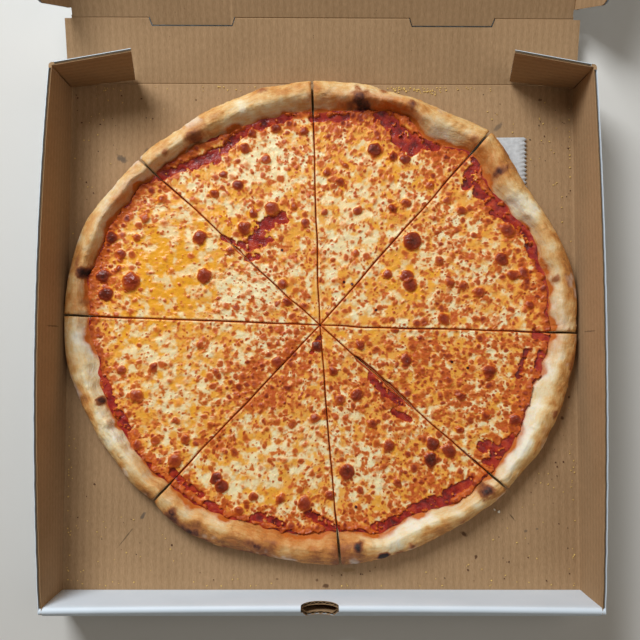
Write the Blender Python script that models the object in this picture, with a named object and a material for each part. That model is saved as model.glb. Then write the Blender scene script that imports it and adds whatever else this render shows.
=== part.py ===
"""Pizza in its open box: a large cheese pizza cut in eight, in a corrugated tray with a folding back wall and lid.

Metres, +Z up. The origin is the centre of the tray's underside, +Y runs to the lid and +X to the right.
"""

import math

import bmesh
import bpy
from mathutils import Vector

MM = 0.001

# Board: a panel starts CREASE_GAP away from its fold line, which lies on the board's inner surface
BOARD = 3.0 * MM
CREASE_GAP = 0.7 * MM

# Tray
TRAY_HALF_WIDTH = 228.5 * MM
TRAY_HALF_LENGTH = 226.0 * MM
WALL_TOP = 57.0 * MM
SIDE_WALL_END = 223.9 * MM
LEFT_BOW = 7.5 * MM
RIGHT_BOW = 5.0 * MM
BOW_SPANS = 12
BACK_FOLD_Y = 228.6 * MM

# Front wall: the outer panel rolls over the top and comes down again inside
FRONT_INNER_FOOT_Y = -225.5 * MM
FRONT_INNER_TOP_Y = -225.0 * MM
FRONT_OUTER_Y = -234.5 * MM
FRONT_OUTER_TOP_Y = -230.8 * MM
FRONT_KNEE_Z = 45.0 * MM
FRONT_TOP_ROUND = 1.4 * MM
FRONT_LEAN_IN = 1.8 * MM
FRONT_SPANS = 8
NOTCH_X = -2.2 * MM
NOTCH_RADIUS = 15.6 * MM
NOTCH_SIDES = 32
POCKET_HALF_WIDTH = 40.0 * MM
POCKET_FLOOR_Z = 8.0 * MM
POCKET_TOP_Z = 52.0 * MM

# Back wall, lid and flaps, with their fold angles in the photo's pose
BACK_WALL_HALF_WIDTH = 231.5 * MM
BACK_WALL_LENGTH = 57.0 * MM
BACK_WALL_ANGLE = math.radians(15.0)
LID_HALF_WIDTH = 225.2 * MM
LID_LENGTH = 446.0 * MM
LID_ANGLE = math.radians(13.0)
TAB_CENTRES = (-117.5 * MM, 116.2 * MM)
TAB_HALF_WIDTH = 38.0 * MM
TAB_DEPTH = 6.0 * MM
TAB_SLOPE = 2.4 * MM
TAB_SLOT_CLEARANCE = 1.2 * MM
TAB_ROOT_GAP = 0.3 * MM
FLAP_DEPTH = 42.0 * MM
FLAP_END_GAP = 8.0 * MM
FLAP_TAPER = 5.0 * MM
FLAP_CORNER = 9.0 * MM
FLAP_ANGLE = math.radians(70.0)

# Dust flaps: they hang on the rear ends of the side walls, and their free ends have swung back and warped
DUST_FOLD_Y = 224.6 * MM
DUST_FOOT_LENGTH = 58.0 * MM
DUST_TOP_LENGTH = 67.0 * MM
DUST_FOOT_SWING = math.radians(5.9)
DUST_TOP_SWING = math.radians(10.3)
DUST_FOOT_Z = 4.0 * MM
DUST_FOOT_RISE = 2.2 * MM

# Sheet of deli paper under the pizza, torn off on a toothed blade
PAPER_LEFT_X = -105.0 * MM
PAPER_RIGHT_X = 185.6 * MM
PAPER_BACK_Y = 179.6 * MM
PAPER_DEPTH = 290.0 * MM
PAPER_THICKNESS = 0.3 * MM
PAPER_TOOTH_PITCH = 3.9 * MM
PAPER_TOOTH_DEPTH = 2.6 * MM

# Pizza: one row for each slice, going round from the right: its name, the angle of the cut where it starts,
# the rim's outer radius at four even steps from that cut, and the rim's width
PIZZA_CENTRE = Vector((-2.1 * MM, 8.2 * MM, 0.0))
PIZZA_FOOT_Z = 4.0 * MM
SLICES = (
    ("right_back", -1.7, (229.1, 231.2, 226.6, 223.1), 26.5),
    ("back_right", 48.7, (230.7, 224.2, 220.4, 219.4), 27.0),
    ("back_left", 92.0, (219.6, 218.6, 217.5, 216.4), 27.0),
    ("left_back", 137.6, (219.7, 223.4, 227.8, 227.8), 23.0),
    ("left_front", 177.9, (227.2, 225.6, 219.9, 215.3), 24.5),
    ("front_left", 226.7, (214.5, 213.4, 209.4, 208.3), 27.0),
    ("front_right", 274.9, (211.4, 211.5, 211.3, 214.5), 26.0),
    ("right_front", 318.8, (218.8, 222.5, 225.7, 227.6), 27.5),
)
SLICE_SPANS = 8
TIP_RADIUS = 5.0 * MM
DOUGH_THICKNESS = 3.4 * MM
RIM_HEIGHT = 18.0 * MM
RIM_SIDE_DROP = 3.4 * MM
RIM_LUMP = 0.9 * MM
RIM_EQUATOR = 6.5 * MM
RIM_ROUND = 14.0 * MM
RIM_EDGE_HALF = 1.0 * MM
RIM_TOE_RISE = 1.6 * MM
SAUCE_THICKNESS = 0.8 * MM
CHEESE_THICKNESS = 1.9 * MM
CHEESE_WAVE = 0.35 * MM
LAYER_GAP = 0.35 * MM
CHEESE_EDGE = 9.0 * MM
SAUCE_EDGE = 1.5 * MM
EDGE_WAVE = 2.5 * MM
CUT_HALF_GAP = 0.45 * MM
RIM_CUT_HALF_GAP = 1.1 * MM
TORN_CUT = 318.8
TORN_HALF_GAP = 1.6 * MM
TORN_FROM = 40.0 * MM
TORN_TO = 115.0 * MM


def material(name, colour, roughness):
    """A Principled material with one colour, given as sRGB values from 0 to 1."""
    made = bpy.data.materials.new(name)
    made.use_nodes = True
    shader = made.node_tree.nodes["Principled BSDF"]
    linear = [((c + 0.055) / 1.055) ** 2.4 for c in colour]
    shader.inputs["Base Color"].default_value = (*linear, 1.0)
    shader.inputs["Roughness"].default_value = roughness
    shader.inputs["Metallic"].default_value = 0.0
    return made


def add_object(name, bm, surface, parent=None):
    """Turns a bmesh into an object with its faces pointing out."""
    bmesh.ops.recalc_face_normals(bm, faces=bm.faces)
    mesh = bpy.data.meshes.new(name)
    bm.to_mesh(mesh)
    bm.free()
    obj = bpy.data.objects.new(name, mesh)
    obj.data.materials.append(surface)
    bpy.context.scene.collection.objects.link(obj)
    obj.parent = parent
    return obj


def prism(points, offset):
    """A bmesh: the closed outline through these points, extruded by the offset."""
    bm = bmesh.new()
    face = bm.faces.new([bm.verts.new(p) for p in points])
    grown = bmesh.ops.extrude_face_region(bm, geom=[face])["geom"]
    moved = [v for v in grown if isinstance(v, bmesh.types.BMVert)]
    bmesh.ops.translate(bm, vec=offset, verts=moved)
    return bm


def flat_panel(outline):
    """A board panel from an outline in its own plane, with its inner surface at z = 0."""
    return prism([(x, y, 0.0) for x, y in outline], (0.0, 0.0, -BOARD))


def boolean(obj, bm, operation):
    """Joins or cuts an object with another closed shape, and keeps only the result."""
    tool = add_object("tool", bm, obj.data.materials[0])
    modifier = obj.modifiers.new("boolean", "BOOLEAN")
    modifier.object = tool
    modifier.operation = operation
    graph = bpy.context.evaluated_depsgraph_get()
    result = bpy.data.meshes.new_from_object(obj.evaluated_get(graph))
    obj.modifiers.remove(modifier)
    obj.data = result
    bpy.data.objects.remove(tool)


def split_along(bm, axis, cuts):
    """Splits the edges that run along an axis, so that the shape can bend."""
    lengthways = [e for e in bm.edges if abs((e.verts[0].co - e.verts[1].co).normalized()[axis]) > 0.9]
    bmesh.ops.subdivide_edges(bm, edges=lengthways, cuts=cuts)


def tray_shell():
    """Floor and side walls as one folded board: a U section along Y, with walls that bow out at mid-length."""
    inner = TRAY_HALF_WIDTH
    outer = inner + BOARD
    start = FRONT_OUTER_TOP_Y + BOARD / 2
    section = [(-outer, 0.0), (outer, 0.0), (outer, WALL_TOP), (inner, WALL_TOP)]
    section += [(inner, BOARD), (-inner, BOARD), (-inner, WALL_TOP), (-outer, WALL_TOP)]
    length = BACK_FOLD_Y - CREASE_GAP - start
    bm = prism([(x, start, z) for x, z in section], (0.0, length, 0.0))
    split_along(bm, axis=1, cuts=BOW_SPANS - 1)
    for vert in bm.verts:
        x, y, z = vert.co
        if z <= BOARD:
            continue
        bow = LEFT_BOW if x < 0 else RIGHT_BOW
        along = 1.0 - min(1.0, (y / TRAY_HALF_LENGTH) ** 2)
        up = (z - BOARD) / (WALL_TOP - BOARD)
        vert.co.x += math.copysign(bow * along * up, x)
    bmesh.ops.triangulate(bm, faces=bm.faces[:])
    return bm


def front_wall():
    """The double front wall with its rolled top, leaning in a little at mid-length."""
    top = WALL_TOP
    step = FRONT_TOP_ROUND
    half = TRAY_HALF_WIDTH + BOARD * 0.9
    section = [(FRONT_INNER_FOOT_Y, BOARD / 2), (FRONT_INNER_TOP_Y, top - step), (FRONT_INNER_TOP_Y - step, top)]
    section += [(FRONT_OUTER_TOP_Y + step, top), (FRONT_OUTER_TOP_Y, top - step)]
    section += [(FRONT_OUTER_Y, FRONT_KNEE_Z), (FRONT_OUTER_Y, 0.0), (FRONT_INNER_FOOT_Y, 0.0)]
    bm = prism([(-half, y, z) for y, z in section], (2 * half, 0.0, 0.0))
    split_along(bm, axis=0, cuts=FRONT_SPANS - 1)
    for vert in bm.verts:
        if vert.co.z > FRONT_KNEE_Z + BOARD:
            vert.co.y += FRONT_LEAN_IN * (1.0 - (vert.co.x / half) ** 2)
    bmesh.ops.triangulate(bm, faces=bm.faces[:])
    return bm


def thumb_notch():
    """A round cutter across the front wall's top edge."""
    bm = bmesh.new()
    bmesh.ops.create_cone(
        bm,
        cap_ends=True,
        segments=NOTCH_SIDES,
        radius1=NOTCH_RADIUS,
        radius2=NOTCH_RADIUS,
        depth=40 * MM,
    )
    for vert in bm.verts:
        x, y, z = vert.co
        vert.co = (NOTCH_X + x, FRONT_OUTER_Y + BOARD + z, WALL_TOP + y)
    return bm


def wall_pocket():
    """The gap between the front wall's two panels, which the notch opens."""
    inner = FRONT_INNER_FOOT_Y - BOARD
    outer = FRONT_OUTER_Y + BOARD
    section = [(inner, POCKET_FLOOR_Z), (outer, POCKET_FLOOR_Z), (outer, FRONT_KNEE_Z - BOARD)]
    section += [(inner, POCKET_TOP_Z), (inner + BOARD / 4, POCKET_TOP_Z)]
    left = NOTCH_X - POCKET_HALF_WIDTH
    return prism([(left, y, z) for y, z in section], (2 * POCKET_HALF_WIDTH, 0.0, 0.0))


def rear_clearance():
    """What is cut off the side walls' rear ends, where the dust flaps fold."""
    half = TRAY_HALF_WIDTH + 20 * MM
    low = BOARD
    high = WALL_TOP + BOARD
    section = [(SIDE_WALL_END, low), (SIDE_WALL_END + 20 * MM, low)]
    section += [(SIDE_WALL_END + 20 * MM, high), (SIDE_WALL_END, high)]
    return prism([(-half, y, z) for y, z in section], (2 * half, 0.0, 0.0))


def make_tray(kraft):
    tray = add_object("tray", tray_shell(), kraft)
    boolean(tray, front_wall(), "UNION")
    boolean(tray, rear_clearance(), "DIFFERENCE")
    boolean(tray, wall_pocket(), "DIFFERENCE")
    boolean(tray, thumb_notch(), "DIFFERENCE")
    return tray


def tab_outline(centre, y_root, y_tip, grow=0.0):
    """Corner points of one tab, or with grow of the slot that it drops into, from left to right."""
    wide = TAB_HALF_WIDTH + grow
    narrow = wide - TAB_SLOPE
    return [(centre - wide, y_root), (centre - narrow, y_tip), (centre + narrow, y_tip), (centre + wide, y_root)]


def make_back_wall(kraft, tray):
    """The panel between floor and lid, with two slots for the lid's tabs."""
    half = BACK_WALL_HALF_WIDTH
    far = BACK_WALL_LENGTH - CREASE_GAP
    slot_foot = BACK_WALL_LENGTH - TAB_DEPTH - TAB_SLOT_CLEARANCE
    outline = [(half, CREASE_GAP), (half, far)]
    for centre in reversed(TAB_CENTRES):
        outline += reversed(tab_outline(centre, far, slot_foot, grow=TAB_SLOT_CLEARANCE / 2))
    outline += [(-half, far), (-half, CREASE_GAP)]
    wall = add_object("back_wall", flat_panel(outline), kraft, tray)
    wall.location = (0.0, BACK_FOLD_Y, BOARD)
    wall.rotation_euler = (BACK_WALL_ANGLE, 0.0, 0.0)
    return wall


def make_lid(kraft, back_wall):
    """The lid's flat panel, and its two tabs, which cross the fold line."""
    half = LID_HALF_WIDTH - CREASE_GAP
    far = LID_LENGTH - CREASE_GAP
    outline = [(-half, far), (-half, CREASE_GAP), (half, CREASE_GAP), (half, far)]
    lid = add_object("lid", flat_panel(outline), kraft, back_wall)
    lid.location = (0.0, BACK_WALL_LENGTH, 0.0)
    lid.rotation_euler = (LID_ANGLE, 0.0, 0.0)
    for name, centre in zip(("lid_tab_left", "lid_tab_right"), TAB_CENTRES):
        outline = tab_outline(centre, CREASE_GAP - TAB_ROOT_GAP, -TAB_DEPTH)
        add_object(name, flat_panel(outline), kraft, lid)
    return lid


def flap_outline(start, end):
    """A lid flap that points along +Y from its fold line on X, with tapered ends and round corners."""
    outline = [(end, CREASE_GAP)]
    corners = ((end - FLAP_TAPER, -1.0, 0.0), (start + FLAP_TAPER, 1.0, 90.0))
    for x, side, first in corners:
        centre = (x + side * FLAP_CORNER, FLAP_DEPTH - FLAP_CORNER)
        for step in range(5):
            angle = math.radians(first + 22.5 * step)
            outline.append((centre[0] + FLAP_CORNER * math.cos(angle), centre[1] + FLAP_CORNER * math.sin(angle)))
    outline.append((start, CREASE_GAP))
    return outline


def make_lid_flaps(kraft, lid):
    """Three flaps on the lid's free sides. Each is drawn pointing along +Y and turned to its side."""
    side_span = (FLAP_END_GAP, LID_LENGTH - FLAP_END_GAP)
    front_half = LID_HALF_WIDTH - FLAP_END_GAP
    places = (
        ("lid_flap_left", side_span, (-LID_HALF_WIDTH, 0.0, 0.0), math.radians(90.0)),
        ("lid_flap_right", (-side_span[1], -side_span[0]), (LID_HALF_WIDTH, 0.0, 0.0), math.radians(-90.0)),
        ("lid_flap_front", (-front_half, front_half), (0.0, LID_LENGTH, 0.0), 0.0),
    )
    for name, span, place, turn in places:
        flap = add_object(name, flat_panel(flap_outline(*span)), kraft, lid)
        flap.location = place
        flap.rotation_euler = (FLAP_ANGLE, 0.0, turn)


def make_dust_flap(name, side, kraft, tray):
    """A warped flap on the rear end of one side wall. Side is -1 for the left wall and 1 for the right one."""
    along, up = 4, 3
    bm = bmesh.new()
    bmesh.ops.create_grid(bm, x_segments=along, y_segments=up, size=1.0)
    for vert in bm.verts:
        out = (vert.co.x + 1.0) / 2
        high = (vert.co.y + 1.0) / 2
        reach = CREASE_GAP + out * (DUST_FOOT_LENGTH + high * (DUST_TOP_LENGTH - DUST_FOOT_LENGTH))
        swing = DUST_FOOT_SWING + high * (DUST_TOP_SWING - DUST_FOOT_SWING)
        foot = DUST_FOOT_Z + out * DUST_FOOT_RISE
        vert.co = (-side * reach * math.cos(swing), reach * math.sin(swing), foot + high * (WALL_TOP - foot))
    grown = bmesh.ops.extrude_face_region(bm, geom=bm.faces[:])["geom"]
    moved = [v for v in grown if isinstance(v, bmesh.types.BMVert)]
    swing = (DUST_FOOT_SWING + DUST_TOP_SWING) / 2
    normal = Vector((side * math.sin(swing), math.cos(swing), 0.0))
    bmesh.ops.translate(bm, vec=normal * BOARD, verts=moved)
    flap = add_object(name, bm, kraft, tray)
    flap.location = (side * TRAY_HALF_WIDTH, DUST_FOLD_Y, 0.0)


def make_paper(paper, tray):
    """The sheet under the pizza, with one toothed side."""
    z = BOARD + PAPER_THICKNESS
    front = PAPER_BACK_Y - PAPER_DEPTH
    teeth = round(PAPER_DEPTH / PAPER_TOOTH_PITCH)
    pitch = PAPER_DEPTH / teeth
    outline = [(PAPER_LEFT_X, PAPER_BACK_Y), (PAPER_LEFT_X, front)]
    for tooth in range(teeth):
        y = front + tooth * pitch
        outline.append((PAPER_RIGHT_X - PAPER_TOOTH_DEPTH, y))
        outline.append((PAPER_RIGHT_X, y + pitch / 2))
    outline.append((PAPER_RIGHT_X - PAPER_TOOTH_DEPTH, PAPER_BACK_Y))
    bm = prism([(x, y, z) for x, y in outline], (0.0, 0.0, PAPER_THICKNESS))
    add_object("paper", bm, paper, tray)


def curve_through(values, t):
    """The value at t from 0 to 1 on a smooth curve that passes evenly through the listed values."""
    spans = len(values) - 1
    place = min(max(t, 0.0), 1.0) * spans
    k = min(int(place), spans - 1)
    f = place - k
    before = values[max(k - 1, 0)]
    a, b = values[k], values[k + 1]
    after = values[min(k + 2, spans)]
    bend = 2 * before - 5 * a + 4 * b - after
    twist = 3 * (a - b) + after - before
    return a + 0.5 * f * (b - before + f * (bend + f * twist))


def lumps(angle):
    """An uneven wave round the rim, from -1 to 1."""
    return (math.sin(5 * angle + 0.7) + math.sin(9 * angle + 2.1) + math.sin(17 * angle + 4.0)) / 3


class Slice:
    """One slice's plan: its cuts, its rim, and the stations from tip to rim that its three layers share."""

    def __init__(self, index):
        self.name, self.start, radii, width = SLICES[index]
        after = SLICES[(index + 1) % len(SLICES)]
        self.end = after[1] + (360.0 if after[1] < self.start else 0.0)
        self.end_cut = after[1]
        self.radii = [r * MM for r in (*radii, after[2][0])]
        self.rim_width = width * MM

    def half_gap(self, cut, radius, rim):
        """Half the width of the gap at a cut: wider at the rim, and where the food tore."""
        gap = CUT_HALF_GAP
        if radius > rim - self.rim_width:
            gap = RIM_CUT_HALF_GAP
        if cut == TORN_CUT and TORN_FROM < radius < TORN_TO:
            gap = TORN_HALF_GAP
        return gap

    def stations(self, t):
        """Radius, top height and foot height at each station of the section at t, from the tip to the equator."""
        angle = math.radians(self.start + t * (self.end - self.start))
        rim = curve_through(self.radii, t)
        toe = rim - self.rim_width
        pressed = math.cos(angle) ** 6
        crest = RIM_HEIGHT - RIM_SIDE_DROP * pressed + RIM_LUMP * lumps(angle) * (1 - pressed)
        wave = EDGE_WAVE * lumps(2 * angle + 1.0)
        cheese_end = toe - CHEESE_EDGE + wave
        sauce_end = toe - SAUCE_EDGE + wave / 2
        dough = DOUGH_THICKNESS
        found = [(TIP_RADIUS, dough, 0.0)]
        found += [(part * cheese_end, dough, 0.0) for part in (0.3, 0.6, 0.85)]
        found += [(cheese_end, dough, 0.0), (sauce_end, dough + RIM_TOE_RISE / 2, 0.0)]
        toe_top = dough + RIM_TOE_RISE
        peak = rim - RIM_ROUND
        inner = peak - sauce_end
        for part in (0.28, 0.64, 1.0):
            rise = 0.5 - 0.5 * math.cos(math.pi * part)
            found.append((sauce_end + part * inner, toe_top + rise * (crest - toe_top), 0.0))
        for lean in (55.0, 25.0):
            side = math.cos(math.radians(lean))
            high = math.sin(math.radians(lean))
            top = RIM_EQUATOR + high * (crest - RIM_EQUATOR)
            found.append((peak + side * RIM_ROUND, top, RIM_EQUATOR * (1 - min(1.0, high * 1.25)) ** 1.5))
        found.append((rim, RIM_EQUATOR + RIM_EDGE_HALF, RIM_EQUATOR - RIM_EDGE_HALF))
        return found, rim

    def point(self, t, radius, rim, height):
        """World place at a share t of the way from one cut to the other."""
        start = math.radians(self.start) + math.asin(self.half_gap(self.start, radius, rim) / radius)
        end = math.radians(self.end) - math.asin(self.half_gap(self.end_cut, radius, rim) / radius)
        angle = start + t * (end - start)
        flat = Vector((math.cos(angle), math.sin(angle), 0.0)) * radius
        return PIZZA_CENTRE + flat + Vector((0.0, 0.0, PIZZA_FOOT_Z + height))


def sheet_solid(piece, count, heights):
    """A solid between two height fields on the slice's stations; heights gives (top, foot) at a station and t."""
    bm = bmesh.new()
    bmesh.ops.create_grid(bm, x_segments=count - 1, y_segments=SLICE_SPANS, size=1.0)
    places = {}
    for vert in bm.verts:
        station = round((vert.co.x + 1.0) / 2 * (count - 1))
        t = round((vert.co.y + 1.0) / 2 * SLICE_SPANS) / SLICE_SPANS
        found, rim = piece.stations(t)
        top, foot = heights(station, t, found)
        radius = found[station][0]
        high = piece.point(t, radius, rim, top)
        low = piece.point(t, radius, rim, foot)
        vert.co = high
        places[tuple(vert.co)] = low
    grown = bmesh.ops.extrude_face_region(bm, geom=bm.faces[:])["geom"]
    for vert in grown:
        if isinstance(vert, bmesh.types.BMVert):
            vert.co = places[tuple(vert.co)]
    return bm


def make_slice(index, surfaces, tray):
    """Crust, sauce and cheese of one slice. The stations end at the cheese's, the sauce's and the rim's edge."""
    piece = Slice(index)
    cheese_count, sauce_count, crust_count = 5, 6, 12
    last_cheese = cheese_count - 1
    last_sauce = sauce_count - 1

    def crust(station, t, found):
        return found[station][1], found[station][2]

    def sauce(station, t, found):
        foot = found[station][1] + LAYER_GAP
        thin = 0.5 if station == last_sauce else 1.0
        return foot + SAUCE_THICKNESS * thin, foot

    def cheese(station, t, found):
        foot = sauce(station, t, found)[0] + LAYER_GAP
        thin = 0.45 if station == last_cheese else 1.0
        wave = CHEESE_WAVE * math.sin(7.0 * t + 2.3 * station + index)
        return foot + (CHEESE_THICKNESS + wave) * thin, foot

    layers = (("crust", crust, crust_count), ("sauce", sauce, sauce_count), ("cheese", cheese, cheese_count))
    for layer, heights, count in layers:
        bm = sheet_solid(piece, count, heights)
        made = add_object(f"{layer}_{piece.name}", bm, surfaces[layer], tray)
        if layer == "crust":
            made.data.shade_smooth()
            made.data.set_sharp_from_angle(angle=math.radians(50.0))


def build():
    for old in list(bpy.data.objects):
        bpy.data.objects.remove(old)
    kraft = material("kraft corrugated board", (0.59, 0.49, 0.37), 0.9)
    paper = material("deli paper", (0.75, 0.75, 0.75), 0.85)
    surfaces = {
        "crust": material("baked crust", (0.85, 0.68, 0.46), 0.7),
        "sauce": material("tomato sauce", (0.60, 0.13, 0.09), 0.35),
        "cheese": material("melted cheese", (0.91, 0.70, 0.38), 0.35),
    }
    tray = make_tray(kraft)
    back_wall = make_back_wall(kraft, tray)
    lid = make_lid(kraft, back_wall)
    make_lid_flaps(kraft, lid)
    make_dust_flap("dust_flap_left", -1, kraft, tray)
    make_dust_flap("dust_flap_right", 1, kraft, tray)
    make_paper(paper, tray)
    for index in range(len(SLICES)):
        make_slice(index, surfaces, tray)


build()
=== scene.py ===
import math

import bmesh
import bpy
import numpy as np
from mathutils import Euler, Matrix, Vector


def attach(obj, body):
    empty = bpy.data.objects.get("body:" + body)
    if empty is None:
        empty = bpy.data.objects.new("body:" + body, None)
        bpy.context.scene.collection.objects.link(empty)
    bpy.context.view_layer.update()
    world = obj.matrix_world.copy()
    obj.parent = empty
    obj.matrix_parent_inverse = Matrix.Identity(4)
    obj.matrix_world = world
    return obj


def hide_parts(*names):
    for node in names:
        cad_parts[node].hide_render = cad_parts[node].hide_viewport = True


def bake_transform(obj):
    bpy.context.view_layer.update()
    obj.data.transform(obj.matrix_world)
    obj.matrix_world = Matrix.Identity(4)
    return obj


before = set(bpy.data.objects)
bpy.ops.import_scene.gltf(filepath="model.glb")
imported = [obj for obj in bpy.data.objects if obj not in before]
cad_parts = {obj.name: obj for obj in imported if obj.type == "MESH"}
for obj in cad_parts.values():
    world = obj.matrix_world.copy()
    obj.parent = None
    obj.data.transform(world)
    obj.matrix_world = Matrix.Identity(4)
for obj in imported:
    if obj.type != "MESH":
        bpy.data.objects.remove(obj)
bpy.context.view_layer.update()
MM = 0.001


# Camera: it looks down on the open box from about 0.7 m, a little from the front. The pixel places that
# the sections below give for marks and toppings are in a frame of PHOTO_SIDE pixels, and under_pixel finds
# where such a place lies at a height over the table.
CAMERA_PLACE = Vector((-6.1 * MM, -22.6 * MM, 702.0 * MM))
CAMERA_TURN = Euler((math.radians(2.925), math.radians(-0.334), math.radians(0.097)))
PHOTO_SIDE = 640
FOCAL_PIXELS = 778.6
SENSOR = 36.0

lens = bpy.data.cameras.new("camera")
lens.sensor_width = SENSOR
lens.lens = FOCAL_PIXELS / PHOTO_SIDE * SENSOR
lens.clip_start = 0.05
lens.clip_end = 20.0
camera = bpy.data.objects.new("camera", lens)
camera.location = CAMERA_PLACE
camera.rotation_euler = CAMERA_TURN
bpy.context.scene.collection.objects.link(camera)
bpy.context.scene.camera = camera


def under_pixel(u, v, height):
    """The x and y of the point at that height which the camera sees at pixel u, v."""
    ray = CAMERA_TURN.to_matrix() @ Vector((u - PHOTO_SIDE / 2, PHOTO_SIDE / 2 - v, -FOCAL_PIXELS))
    place = CAMERA_PLACE + ray * ((height - CAMERA_PLACE.z) / ray.z)
    return place.x, place.y


# Corrugated board: B-flute board, 3 mm thick, with a brown kraft liner inside, a white liner outside and a
# wavy fluting between them. Every panel is made of those three sheets, so that a cut edge shows the waves.
BOARD = 3.0 * MM
LINER = 0.42 * MM
FLUTING = 0.28 * MM
FLUTE_PITCH = 6.3 * MM
SHEET_CLEARANCE = 0.03 * MM
WASHBOARD = 0.07 * MM
CREASE_GAP = 0.7 * MM


def linear(colour):
    """An sRGB hex colour as linear RGBA."""
    parts = [int(colour[i:i + 2], 16) / 255 for i in (1, 3, 5)]
    return (*[p / 12.92 if p <= 0.04045 else ((p + 0.055) / 1.055) ** 2.4 for p in parts], 1.0)


def add(tree, kind, inputs=None, **settings):
    """Adds a node. An input's value is a number, a colour or the output that feeds it."""
    node = tree.nodes.new(kind)
    for name, value in settings.items():
        setattr(node, name, value)
    for key, value in (inputs or {}).items():
        if isinstance(value, bpy.types.NodeSocket):
            tree.links.new(value, node.inputs[key])
        else:
            node.inputs[key].default_value = value
    return node


def new_material(name, roughness):
    made = bpy.data.materials.new(name)
    made.use_nodes = True
    shader = made.node_tree.nodes["Principled BSDF"]
    shader.inputs["Roughness"].default_value = roughness
    return made, made.node_tree, shader


# Kraft liner: unbleached sulphate pulp, calendered dull. Long fibres run along the flutes, dark specks of
# bark lie between them, and the glue lines of the flutes print through as faint stripes.
def kraft_liner(name, light, dark, marks=()):
    made, tree, shader = new_material(name, 0.88)
    shader.inputs["Specular IOR Level"].default_value = 0.25
    place = add(tree, "ShaderNodeAttribute", attribute_name="board_place").outputs["Vector"]
    clouds = add(tree, "ShaderNodeTexNoise", {"Vector": place, "Scale": 22.0, "Detail": 3.0}).outputs[0]
    stretched = add(tree, "ShaderNodeMapping", {0: place, "Scale": (1.0, 0.22, 1.0)}).outputs[0]
    strands = {"Vector": stretched, "Scale": 900.0, "Detail": 3.0, "Roughness": 0.7}
    fibres = add(tree, "ShaderNodeTexNoise", strands).outputs[0]
    across = add(tree, "ShaderNodeSeparateXYZ", {0: place}).outputs[0]
    per_metre = 2 * math.pi / FLUTE_PITCH
    phase = add(tree, "ShaderNodeMath", {0: across, 1: per_metre}, operation="MULTIPLY").outputs[0]
    stripe = add(tree, "ShaderNodeMath", {0: phase}, operation="COSINE").outputs[0]
    tone = add(tree, "ShaderNodeMath", {0: clouds, 1: 0.3, 2: 0.1}, operation="MULTIPLY_ADD").outputs[0]
    tone = add(tree, "ShaderNodeMath", {0: fibres, 1: 0.75, 2: tone}, operation="MULTIPLY_ADD").outputs[0]
    tone = add(tree, "ShaderNodeMath", {0: stripe, 1: 0.055, 2: tone}, operation="MULTIPLY_ADD").outputs[0]
    tone = add(tree, "ShaderNodeMapRange", {0: tone, 1: 0.25, 2: 1.0}).outputs[0]
    deep, pale = linear(dark), linear(light)
    colour = add(tree, "ShaderNodeMix", {0: tone, 6: deep, 7: pale}, data_type="RGBA").outputs[2]
    specks = add(tree, "ShaderNodeTexVoronoi", {"Vector": place, "Scale": 210.0, "Randomness": 1.0})
    speck = add(tree, "ShaderNodeMapRange", {0: specks.outputs["Distance"], 1: 0.1, 2: 0.05}).outputs[0]
    thinned = add(tree, "ShaderNodeTexNoise", {"Vector": place, "Scale": 60.0}).outputs[0]
    thinned = add(tree, "ShaderNodeMapRange", {0: thinned, 1: 0.52, 2: 0.66, 4: 0.7}).outputs[0]
    speck = add(tree, "ShaderNodeMath", {0: speck, 1: thinned}, operation="MULTIPLY").outputs[0]
    bark = linear("#3b2c1e")
    colour = add(tree, "ShaderNodeMix", {0: speck, 6: colour, 7: bark}, data_type="RGBA").outputs[2]
    where = add(tree, "ShaderNodeTexCoord").outputs["Object"]
    ragged = add(tree, "ShaderNodeTexNoise", {"Vector": where, "Scale": 320.0, "Detail": 2.0}).outputs[0]
    for centre, radii, turn, strength, tint in marks:
        local = add(
            tree,
            "ShaderNodeMapping",
            {0: where, "Location": centre, "Rotation": (0.0, 0.0, turn), "Scale": radii},
            vector_type="TEXTURE",
        ).outputs[0]
        away = add(tree, "ShaderNodeVectorMath", {0: local}, operation="LENGTH").outputs["Value"]
        away = add(tree, "ShaderNodeMath", {0: ragged, 1: 1.1, 2: away}, operation="MULTIPLY_ADD").outputs[0]
        mark = add(tree, "ShaderNodeMapRange", {0: away, 1: 1.5, 2: 1.05, 4: strength}).outputs[0]
        stain = linear(tint)
        colour = add(tree, "ShaderNodeMix", {0: mark, 6: colour, 7: stain}, data_type="RGBA").outputs[2]
    tree.links.new(colour, shader.inputs["Base Color"])
    bump = add(tree, "ShaderNodeBump", {"Strength": 0.35, "Distance": 0.2 * MM, "Height": fibres})
    tree.links.new(bump.outputs[0], shader.inputs["Normal"])
    return made


# White liner: clay-coated test liner, a little rough. Its white carries a painted cool cast, the blue of
# the window light painted into its colour, with faint duller clouds, and it is glued outside the fluting.
def white_liner():
    made, tree, shader = new_material("white coated liner", 0.6)
    place = add(tree, "ShaderNodeAttribute", attribute_name="board_place").outputs["Vector"]
    clouds = add(tree, "ShaderNodeTexNoise", {"Vector": place, "Scale": 35.0, "Detail": 4.0}).outputs[0]
    tone = add(tree, "ShaderNodeMapRange", {0: clouds, 1: -0.2, 2: 1.2}).outputs[0]
    # Painted light: both whites are tinted cool blue, standing in for the cool window light
    pale, dull = linear("#e8f3fe"), linear("#d9e5f0")
    colour = add(tree, "ShaderNodeMix", {0: tone, 6: dull, 7: pale}, data_type="RGBA").outputs[2]
    tree.links.new(colour, shader.inputs["Base Color"])
    grain = add(tree, "ShaderNodeTexNoise", {"Vector": place, "Scale": 1200.0, "Detail": 2.0}).outputs[0]
    bump = add(tree, "ShaderNodeBump", {"Strength": 0.2, "Distance": 0.1 * MM, "Height": grain})
    tree.links.new(bump.outputs[0], shader.inputs["Normal"])
    return made


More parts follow.
